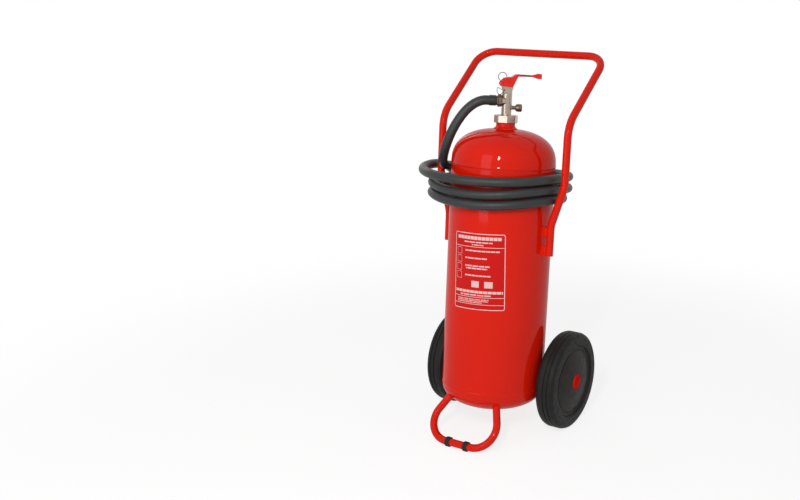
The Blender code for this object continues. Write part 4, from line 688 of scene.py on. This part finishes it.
def leg_seam(side):
    """Line where a leg of the foot meets the bottom head."""
    mirror = Vector((side, 1, 1))
    axis = FOOT_LEG * mirror
    start = FOOT_CORNER * mirror
    across = axis.cross(Vector((0, 0, 1))).normalized()
    other = axis.cross(across).normalized()
    for i in range(48):
        angle = math.tau * i / 48
        point = start + (across * math.cos(angle) + other * math.sin(angle)) * TUBE_RADIUS
        low, high = 0.3, 1.0
        for _ in range(30):
            share = (low + high) / 2
            here = point + axis * share
            if here.z > bottom_height(math.hypot(here.x, here.y)):
                high = share
            else:
                low = share
        yield point + axis * low


LUG_SEAM = (0.0083, 0.0133)       # half the width and height of the line round a lug
BEAD_RISE = 0.0006                # of a bead's line above the surface it lies on


def lug_seam(side, height):
    """Line round the foot of an arm lug on the cylinder."""
    for i in range(48):
        angle = math.tau * i / 48
        swell = (abs(math.cos(angle)) ** 6 + abs(math.sin(angle)) ** 6) ** (-1 / 6)
        y = HANDLE_Y + LUG_SEAM[0] * math.cos(angle) * swell
        z = height + LUG_SEAM[1] * math.sin(angle) * swell
        yield Vector((side * (math.sqrt(TANK_RADIUS ** 2 - y ** 2) + BEAD_RISE), y, z))


PAD_INSIDE = TUBE_RADIUS + SEAT_GAP
PAD_OUTSIDE = PAD_INSIDE + FOOT_PAD_WALL
PAD_SECTION = filleted([
    (PAD_INSIDE, FOOT_PAD_HALF, 0.0004), (PAD_OUTSIDE, FOOT_PAD_HALF, 0.0014),
    (PAD_OUTSIDE, -FOOT_PAD_HALF, 0.0014), (PAD_INSIDE, -FOOT_PAD_HALF, 0.0004)])
for side_name, side in (("left", -1), ("right", 1)):
    weld_bead("foot_weld_" + side_name, leg_seam(side), FOOT_WELD)
    for level, height in LUG_HEIGHTS:
        weld_bead("lug_weld_" + level + "_" + side_name, lug_seam(side, height), LUG_WELD)
        refined("arm_lug_" + level + "_" + side_name, ENAMEL, 0.0012)
    settle(lathe("foot_ring_" + side_name, PAD_SECTION, 48), BLACK_RUBBER, "cylinder",
           ["foot_pad_" + side_name],
           STAND @ Matrix.Translation((side * FOOT_PAD_X, FOOT_CORNER.y, FOOT_CORNER.z)) @ TO_X,
           baked=True)


# ---------------- wheels
RIM_RADIUS = 0.1060
RIM_INSIDE = 0.0990
RIM_HALF = 0.0245
HUB_BORE_RADIUS = 0.0130
HUB_RADIUS = 0.0210
RECESS = 0.0241                   # round the hub cap
CAP_RADIUS = 0.0235
CAP_INSIDE = 0.0216
CAP_SKIRT = 0.0050                # overlap of the cap on the hub
GROOVE_DEPTH = 0.0026
GROOVES_Z = (0.0120, -0.0010)     # round the tread, from the wheel's middle plane
WEB_FACE = 0.02255                # heights from the wheel's middle plane
WEB_DOME = 0.0130
CAP_FACE = 0.03905
HUB_FACE = 0.02435


def tyre_section():
    """Solid tyre with two grooves round its tread."""
    seat = RIM_RADIUS + SEAT_GAP
    side = [(seat, WHEEL_HALF - 0.0040, 0.0008), (seat + 0.0040, WHEEL_HALF, 0.0025),
            (WHEEL_RADIUS - 0.0110, WHEEL_HALF - 0.0008, 0.005),
            (WHEEL_RADIUS - 0.0030, WHEEL_HALF - 0.0060, 0.004),
            (WHEEL_RADIUS, WHEEL_HALF - 0.0135, 0.003)]
    corners = list(side)
    for groove_z in GROOVES_Z:
        corners += [(WHEEL_RADIUS, groove_z + 0.0021, 0.0006),
                    (WHEEL_RADIUS - GROOVE_DEPTH, groove_z + 0.0010, 0.0006),
                    (WHEEL_RADIUS - GROOVE_DEPTH, groove_z - 0.0010, 0.0006),
                    (WHEEL_RADIUS, groove_z - 0.0021, 0.0006)]
    corners += [(radius, -height, fillet) for radius, height, fillet in reversed(side)]
    return filleted(corners, steps=5)


def dome(radius):
    """Height of the web's outer face at a radius."""
    share = (radius - RECESS) / (RIM_INSIDE - RECESS)
    return WEB_FACE + WEB_DOME * (1 - 0.28 * share - 0.72 * share ** 2)


def disc_section():
    """Wheel centre: rim, domed web with a recess for the cap, and hub."""
    inner = WEB_FACE - 0.0070
    floor_z = HUB_FACE - CAP_SKIRT - 2 * SEAT_GAP
    corners = [(HUB_BORE_RADIUS, HUB_FACE, 0.0003), (HUB_RADIUS, HUB_FACE, 0.0005),
               (HUB_RADIUS, floor_z, 0.0004), (RECESS, floor_z, 0.0004),
               (RECESS, dome(RECESS), 0.0010)]
    corners += [(RECESS + 0.0050 * i, dome(RECESS + 0.0050 * i), 0.0) for i in range(1, 14)]
    corners += [(0.0930, dome(0.0930), 0.0006), (0.0942, dome(0.0942) - 0.0010, 0.0004),
                (0.0956, dome(0.0956) - 0.0010, 0.0004), (0.0966, WEB_FACE + 0.0012, 0.0006),
                (RIM_INSIDE, WEB_FACE + 0.0010, 0.0005), (0.0996, RIM_HALF, 0.0006),
                (RIM_RADIUS, RIM_HALF, 0.0010), (RIM_RADIUS, -RIM_HALF, 0.0010),
                (RIM_INSIDE, -RIM_HALF, 0.0014), (RIM_INSIDE, inner, 0.005),
                (0.0616, inner + WEB_DOME / 2, 0.02), (0.0311, inner + WEB_DOME / 2, 0.003),
                (0.0276, inner - 0.0035, 0.003), (HUB_RADIUS, -WHEEL_HALF, 0.0008),
                (HUB_BORE_RADIUS, -WHEEL_HALF, 0.0004)]
    return filleted(corners)


CAP_SECTION = filleted([
    (0.0, CAP_FACE - 0.0012, 0.0), (0.0104, CAP_FACE - 0.0012, 0.0006), (0.0120, CAP_FACE, 0.0006),
    (0.0180, CAP_FACE, 0.0014), (CAP_RADIUS, CAP_FACE - 0.0030, 0.0018),
    (CAP_RADIUS, HUB_FACE - CAP_SKIRT, 0.0004), (CAP_INSIDE, HUB_FACE - CAP_SKIRT, 0.0004),
    (CAP_INSIDE, CAP_FACE - 0.0052, 0.0008), (0.0, CAP_FACE - 0.0034, 0.0)], closed=False)

for side_name, side in (("left", -1), ("right", 1)):
    middle = STAND @ Matrix.Translation((side * WHEEL_MIDDLE_X, WHEEL_Y, WHEEL_Z))
    hub = Matrix.Translation(middle.translation) @ (TO_X if side > 0 else TO_MINUS_X)
    body = "wheel_" + side_name
    settle(lathe("tyre_fine_" + side_name, tyre_section(), 144), TYRE, body,
           ["tyre_" + side_name], hub)
    settle(lathe("disc_fine_" + side_name, disc_section(), 96), DISC, body,
           ["wheel_disc_" + side_name], hub)
    settle(lathe("cap_fine_" + side_name, CAP_SECTION, 64, False), CAP_RED, body,
           ["hub_cap_" + side_name], hub)
    refined("wheel_bush_" + side_name, NYLON, 0.0003)
    refined("stub_axle_" + side_name, ZINC, 0.0)
    refined("split_pin_" + side_name, ZINC, 0.0)
    for place in ("inner", "outer"):
        refined("axle_washer_" + place + "_" + side_name, ZINC, 0.0003)
refined("axle_saddle", ENAMEL, 0.0010)


# ---------------- valve, lever, gauge, gun
def on_outlet(centre):
    """True on the valve's outlet boss and its spigot."""
    return (centre.x < -0.004 and abs(centre.z - OUTLET_Z) < 0.0175
            and math.hypot(centre.y, centre.z - OUTLET_Z) > 0.0060
            and math.hypot(centre.x, centre.y) > 0.0150)


def on_shank_painted_shade(centre):
    """True on the lever's thin shank, between the bend and the paddle; it gets painted shade."""
    return 0.040 < centre.x < 0.068 and abs(centre.y) < 0.006


for node, finish, bevel in (
        ("valve_collar", NICKEL, 0.0009), ("neck_gasket", BLACK_RUBBER, 0.0002),
        ("valve_stem", ZINC, 0.0), ("stem_seal", BLACK_RUBBER, 0.0), ("spring_seat", BRASS, 0.0),
        ("dip_tube", PLASTIC, 0.0), ("lever_pivot", CAST_RED, 0.0003),
        ("safety_pin", ZINC, 0.0003), ("gauge_case", BRONZED, 0.0005),
        ("gauge_needle", PLASTIC, 0.0), ("outlet_nut", BRONZED, 0.0008),
        ("hose_tail_valve", BRONZED, 0.0003), ("hose_ferrule_valve", PLASTIC, 0.0003)):
    refined(node, finish, bevel, VALVE)
refined("valve_body", NICKEL, 0.0004, VALVE, (BRONZED, on_outlet))
# the lever's shank takes the darker copy of its red: painted shade
refined("lever", CAST_RED, 0.0012, VALVE, (SHANK_PAINTED_SHADE, on_shank_painted_shade), 3)
for node, finish, bevel in (
        ("hose_ferrule_gun", PLASTIC, 0.0003), ("gun_coupling_nut", BRONZED, 0.0006),
        ("gun_body", NICKEL, 0.0003), ("gun_nozzle", PLASTIC, 0.0003),
        ("gun_trigger", CAST_RED, 0.0006), ("trigger_pin", ZINC, 0.0003),
        ("gun_clip_low", ZINC, 0.0003), ("gun_clip_high", ZINC, 0.0003)):
    refined(node, finish, bevel, GUN)

RING_RADIUS = 0.0122
RING_WIRE = 0.0010
RING_PLACE = (-0.0118, 0.01855, PIVOT_UP - 0.0018)        # in the eye of the safety pin's head
RING_STEPS = 72
ring_loop = []
for i in range(RING_STEPS):
    angle = math.tau * i / RING_STEPS
    ring_loop.append((RING_RADIUS * math.sin(angle), 0.0, RING_RADIUS * (1 - math.cos(angle))))
settle(sweep("pull_ring_fine", ring_loop, RING_WIRE, 12, closed=True), DARK_STEEL, "pin",
       ["pull_ring"], VALVE @ Matrix.Translation(RING_PLACE))
SEAL_WIRE = 0.0008
SEAL_ROUTE = [                    # from the lever's pivot
    (-0.0100, -0.0060, -0.0256), (-0.0100, -0.0125, -0.0256), (-0.0165, -0.0150, -0.0330),
    (-0.0225, -0.0120, -0.0385), (-0.0290, -0.0060, -0.0345), (-0.0295, 0.0010, -0.0255),
    (-0.0270, 0.0080, -0.0200), (-0.0215, 0.0140, -0.0215), (-0.0150, 0.0150, -0.0250),
    (-0.0100, 0.0125, -0.0256), (-0.0100, 0.0060, -0.0256)]
seal_line = smooth(SEAL_ROUTE, spacing=0.0012)
settle(sweep("seal_wire_fine", seal_line, SEAL_WIRE, 10), DARK_STEEL, "cylinder",
       ["seal_wire"], VALVE @ Matrix.Translation((0, 0, PIVOT_UP)))
SPRING_WIRE = 0.0008
SPRING_TURNS = 5
SPRING_RADIUS = 0.0077
SPRING_TOP_Z = 0.0256             # above the neck
SPRING_LENGTH = 0.0184            # between the middles of its end coils
SPRING_STEPS = 32                 # in a turn
spring_line = []
for i in range(SPRING_TURNS * SPRING_STEPS + 1):
    angle = math.tau * i / SPRING_STEPS
    spring_line.append((SPRING_RADIUS * math.cos(angle), SPRING_RADIUS * math.sin(angle),
                        SPRING_TOP_Z - SPRING_LENGTH * i / (SPRING_TURNS * SPRING_STEPS)))
settle(sweep("stem_spring_fine", spring_line, SPRING_WIRE, 10), ZINC, "cylinder",
       ["stem_spring"], VALVE)


# ---------------- gauge dial, lens and label
def band(tree, value, low, high, edge):
    """1 between two levels of a value, with soft edges."""
    rise = ranged(tree, value, low - edge, low + edge, 0.0, 1.0)
    fall = ranged(tree, value, high - edge, high + edge, 1.0, 0.0)
    return times(tree, rise, fall)


def base_colour(shader):
    """The socket that a surface's colour comes from."""
    return shader.inputs["Base Color"].links[0].from_socket


GREEN = (0.02, 0.30, 0.05)
RED = (0.60, 0.02, 0.02)
BLACK = (0.02, 0.02, 0.02)
DIAL_SECTORS = [                  # radians from the dial's middle, and colour
    (-0.55, 0.55, GREEN), (-1.9, -0.6, RED), (0.6, 1.9, RED)]
DIAL_RING = (0.0052, 0.0078)
DIAL_TICKS = (0.0078, 0.0088)
DIAL_SPAN = 1.95                  # the ticks end here on either side
TICKS_PER_RADIAN = 2.5


def dial_finish():
    """White dial with a green working sector, red sectors at its ends and plain ticks."""
    made = surface("gauge_dial_print", (0.80, 0.79, 0.75), 0.5, shade=0.96, shade_scale=80.0)
    tree = made.node_tree
    shader = tree.nodes["Principled BSDF"]
    place = add(tree, "ShaderNodeTexCoord").outputs["Object"]
    x, y, _ = add(tree, "ShaderNodeSeparateXYZ", Vector=place).outputs
    reach = hypotenuse(tree, x, y)
    angle = maths(tree, "ARCTAN2", y, times(tree, x, -1.0))
    tone = base_colour(shader)
    ring = band(tree, reach, *DIAL_RING, 0.0001)
    for low, high, colour in DIAL_SECTORS:
        share = times(tree, ring, band(tree, angle, low, high, 0.01))
        tone = mixed(tree, share, tone, colour)
    ticks = maths(tree, "FRACT", times(tree, angle, TICKS_PER_RADIAN))
    lines = times(tree, band(tree, ticks, 0.45, 0.55, 0.02),
                  band(tree, reach, *DIAL_TICKS, 0.0001))
    lines = times(tree, lines, band(tree, angle, -DIAL_SPAN, DIAL_SPAN, 0.01))
    tone = mixed(tree, lines, tone, BLACK)
    tree.links.new(tone, shader.inputs["Base Color"])
    return made


def lens_finish():
    """Clear moulded window."""
    made, tree, shader = new_material("clear_window")
    shader.inputs["Base Color"].default_value = (0.96, 0.97, 0.98, 1.0)
    shader.inputs["Transmission Weight"].default_value = 1.0
    shader.inputs["IOR"].default_value = 1.45
    place = add(tree, "ShaderNodeTexCoord").outputs["Object"]
    tree.links.new(ranged(tree, noise(tree, place, 300.0), 0.3, 0.7, 0.02, 0.05),
                   shader.inputs["Roughness"])
    return made


DIAL = dial_finish()
LENS = lens_finish()
GAUGE = VALVE @ Matrix.Translation((0, 0, GAUGE_Z)) @ TO_X
refined("gauge_dial", DIAL, 0.0, GAUGE)
refined("gauge_lens", LENS, 0.0, GAUGE)

LABEL_HALF = (0.081, 0.1095)      # arc and height
LABEL_CORNER = 0.0065
LABEL_MIDDLE_Z = 0.4265
LABEL_TURN = math.radians(8)      # from the front towards +X
LABEL_TILT = math.radians(2.2)
LABEL_BARS = [                    # middle across, middle up, half width, half height
    (0.000, 0.0950, 0.0700, 0.0046), (0.000, 0.0832, 0.0440, 0.0017),
    (0.000, 0.0758, 0.0180, 0.0014), (0.012, 0.0590, 0.0520, 0.0019),
    (-0.006, 0.0380, 0.0340, 0.0019), (-0.002, 0.0160, 0.0380, 0.0019),
    (-0.004, 0.0090, 0.0330, 0.0019), (0.000, -0.0110, 0.0400, 0.0019),
    (-0.0065, -0.0355, 0.0115, 0.0090), (0.0330, -0.0355, 0.0120, 0.0090),
    (0.000, -0.0575, 0.0745, 0.0036), (-0.008, -0.0668, 0.0480, 0.0017),
    (-0.016, -0.0790, 0.0500, 0.0011), (-0.016, -0.0835, 0.0500, 0.0011),
    (-0.026, -0.0880, 0.0400, 0.0011)]
LABEL_PICTURES = [0.0560, 0.0330, 0.0100, -0.0130]     # plain frames down the left side
PICTURE_FRAME = (0.0090, 0.0095, 0.0015, 0.0008, -0.062)    # half sizes, corner, line, across
LABEL_RULES = [0.0700, -0.0725, -0.0930]
RULE_HALF = 0.0006
KEYLINE_INSET = 0.0012
KEYLINE_WIDTH = 0.0019
PRINT_EDGE = 0.0002
LABEL_THICKNESS = 0.00015
LABEL_LIFT = 0.00005              # of the film above the cylinder
INK = (0.86, 0.70, 0.68)


def label_finish():
    """Printed red film with a white keyline, rules and plain bars."""
    made = surface("printed_film", (0.60, 0.008, 0.006), 0.34, coat=0.22, coat_rough=0.08,
                   shade=0.95, shade_scale=8.0, rough_span=0.03, specular=0.0)
    tree = made.node_tree
    shader = tree.nodes["Principled BSDF"]
    place = add(tree, "ShaderNodeUVMap", {"uv_map": "sheet"}).outputs[0]
    across, up, _ = add(tree, "ShaderNodeSeparateXYZ", Vector=place).outputs
    wide = maths(tree, "ABSOLUTE", across)

    def frame_line(half_x, half_y, corner, width, x=0.0, y=0.0):
        """Outline of a rounded box."""
        out = []
        for here, middle, half in ((across, x, half_x), (up, y, half_y)):
            away = maths(tree, "ABSOLUTE", maths(tree, "SUBTRACT", here, middle))
            out.append(maths(tree, "SUBTRACT", away, half - corner))
        past = hypotenuse(tree, *(maths(tree, "MAXIMUM", part, 0.0) for part in out))
        inside = maths(tree, "MINIMUM", maths(tree, "MAXIMUM", *out), 0.0)
        return band(tree, maths(tree, "ADD", past, inside), corner - width, corner, PRINT_EDGE)

    half_x, half_y = (half - KEYLINE_INSET for half in LABEL_HALF)
    ink = frame_line(half_x, half_y, LABEL_CORNER, KEYLINE_WIDTH)
    for y in LABEL_RULES:
        rule = times(tree, band(tree, up, y - RULE_HALF, y + RULE_HALF, PRINT_EDGE),
                     band(tree, wide, -1.0, LABEL_HALF[0] - 0.004, PRINT_EDGE))
        ink = maths(tree, "MAXIMUM", ink, rule)
    for row, (x, y, half_x, half_y) in enumerate(LABEL_BARS):
        bar = times(tree, band(tree, across, x - half_x, x + half_x, 0.0003),
                    band(tree, up, y - half_y, y + half_y, 0.0003))
        if half_x > 2 * half_y:
            pitch = 0.0115 + 0.0017 * (row * 5 % 7)      # blocks of other lengths in each row
            blocks = maths(tree, "FRACT", maths(tree, "MULTIPLY_ADD", across, 1 / pitch,
                                                10.0 + 0.37 * row))
            bar = times(tree, bar, band(tree, blocks, 0.07, 0.96, 0.02))
        ink = maths(tree, "MAXIMUM", ink, times(tree, bar, 0.82))
    for y in LABEL_PICTURES:
        ink = maths(tree, "MAXIMUM", ink, times(tree, frame_line(*PICTURE_FRAME, y), 0.8))
    tree.links.new(mixed(tree, times(tree, ink, 0.90), base_colour(shader), INK),
                   shader.inputs["Base Color"])
    return made


def label_sheet():
    """Thin film with rounded corners, laid on the cylinder."""
    outline = []
    for turn, (x, y) in enumerate(((1, 1), (-1, 1), (-1, -1), (1, -1))):
        for step in range(7):
            angle = math.pi / 2 * (turn + step / 6)
            outline.append((x * (LABEL_HALF[0] - LABEL_CORNER) + LABEL_CORNER * math.cos(angle),
                            y * (LABEL_HALF[1] - LABEL_CORNER) + LABEL_CORNER * math.sin(angle),
                            0.0))
    shape = bmesh.new()
    shape.faces.new([shape.verts.new(point) for point in outline])
    strips = 60
    for i in range(1, strips):
        x = LABEL_HALF[0] * (2 * i / strips - 1)
        bmesh.ops.bisect_plane(shape, geom=shape.verts[:] + shape.edges[:] + shape.faces[:],
                               plane_co=(x, 0, 0), plane_no=(1, 0, 0))
    bmesh.ops.solidify(shape, geom=shape.faces[:], thickness=LABEL_THICKNESS)
    layer = shape.loops.layers.uv.new("sheet")
    for face in shape.faces:
        for loop in face.loops:
            loop[layer].uv = loop.vert.co.xy
    lowest = min(vertex.co.z for vertex in shape.verts)
    for vertex in shape.verts:
        x, y, z = vertex.co
        along = x * math.cos(LABEL_TILT) - y * math.sin(LABEL_TILT)
        height = x * math.sin(LABEL_TILT) + y * math.cos(LABEL_TILT)
        angle = LABEL_TURN + along / TANK_RADIUS
        reach = TANK_RADIUS + LABEL_LIFT + z - lowest
        vertex.co = (reach * math.sin(angle), -reach * math.cos(angle), LABEL_MIDDLE_Z + height)
    return shown_piece("label_film", bpy.data.meshes.new("label_film"), shape, crease=40.0)


settle(label_sheet(), label_finish(), "cylinder", matrix=STAND)

# ---------------- floor, world, lamps
WHITE = (1.0, 1.0, 1.0, 1.0)
SHADOW_REACH = 0.9                # the floor's shade fades into the backdrop from here
FADE_END = 2.1


def backdrop_share(tree):
    """1 for what looks or mirrors straight at the backdrop, 0 for light that it sends on."""
    path = add(tree, "ShaderNodeLightPath").outputs
    seen = maths(tree, "MAXIMUM", path["Is Camera Ray"], path["Is Glossy Ray"])
    return maths(tree, "MAXIMUM", seen, path["Is Transmission Ray"])


def floor_finish():
    """Pale floor that keeps the object's shadow and runs out into the white backdrop."""
    made, tree, shader = new_material("pale_floor")
    tree.nodes.remove(shader)
    place = add(tree, "ShaderNodeTexCoord").outputs["Object"]
    reach = add(tree, "ShaderNodeVectorMath", {"operation": "LENGTH"},
                Vector=place).outputs["Value"]
    plain = add(tree, "ShaderNodeBsdfDiffuse", Color=(0.90, 0.90, 0.90, 1.0))
    lit = add(tree, "ShaderNodeBsdfDiffuse", Color=(0.24, 0.24, 0.24, 1.0))
    glow = add(tree, "ShaderNodeEmission", Color=WHITE, Strength=0.80)
    near = tree.nodes.new("ShaderNodeAddShader")
    tree.links.new(lit.outputs[0], near.inputs[0])
    tree.links.new(glow.outputs[0], near.inputs[1])
    far = add(tree, "ShaderNodeEmission", Color=WHITE, Strength=1.0)
    shown = mixed_shader(tree, ranged(tree, reach, SHADOW_REACH, FADE_END, 0.0, 1.0), near, far)
    mix = mixed_shader(tree, backdrop_share(tree), plain, shown)
    tree.links.new(mix.outputs[0], tree.nodes["Material Output"].inputs["Surface"])
    return made


bpy.ops.mesh.primitive_plane_add(size=24.0, location=(0, 0, -0.0005))
floor = bpy.context.object
floor.name = "floor"
floor.data.materials.append(floor_finish())

world = bpy.data.worlds.new("studio")
bpy.context.scene.world = world
world.use_nodes = True
sky = world.node_tree
background = sky.nodes["Background"]
background.inputs["Color"].default_value = WHITE
background.inputs["Strength"].default_value = 0.36
plain = add(sky, "ShaderNodeBackground", Color=WHITE, Strength=1.0)
sky_mix = mixed_shader(sky, backdrop_share(sky), background, plain)
sky.links.new(sky_mix.outputs[0], sky.nodes["World Output"].inputs[0])

LAMP_AIM = Vector((0.0, 0.0, 0.5))


def lamp(name, shape, size, energy, place):
    """An area lamp of (width, height) that points at the middle of the object."""
    light = bpy.data.lights.new(name, "AREA")
    light.shape = shape
    light.size, light.size_y = size
    light.energy = energy
    made = bpy.data.objects.new(name, light)
    bpy.context.scene.collection.objects.link(made)
    made.location = place
    made.rotation_euler = (LAMP_AIM - Vector(place)).to_track_quat("-Z", "Y").to_euler()


lamp("flash", "ELLIPSE", (0.30, 0.72), 33.0, (0.89, -2.28, 1.99))
lamp("key", "RECTANGLE", (1.2, 2.2), 19.0, (-0.34, -2.9, 1.5))
lamp("fill", "RECTANGLE", (1.6, 1.6), 8.0, (-2.6, 1.6, 1.8))

bpy.context.scene.view_settings.view_transform = "Standard"
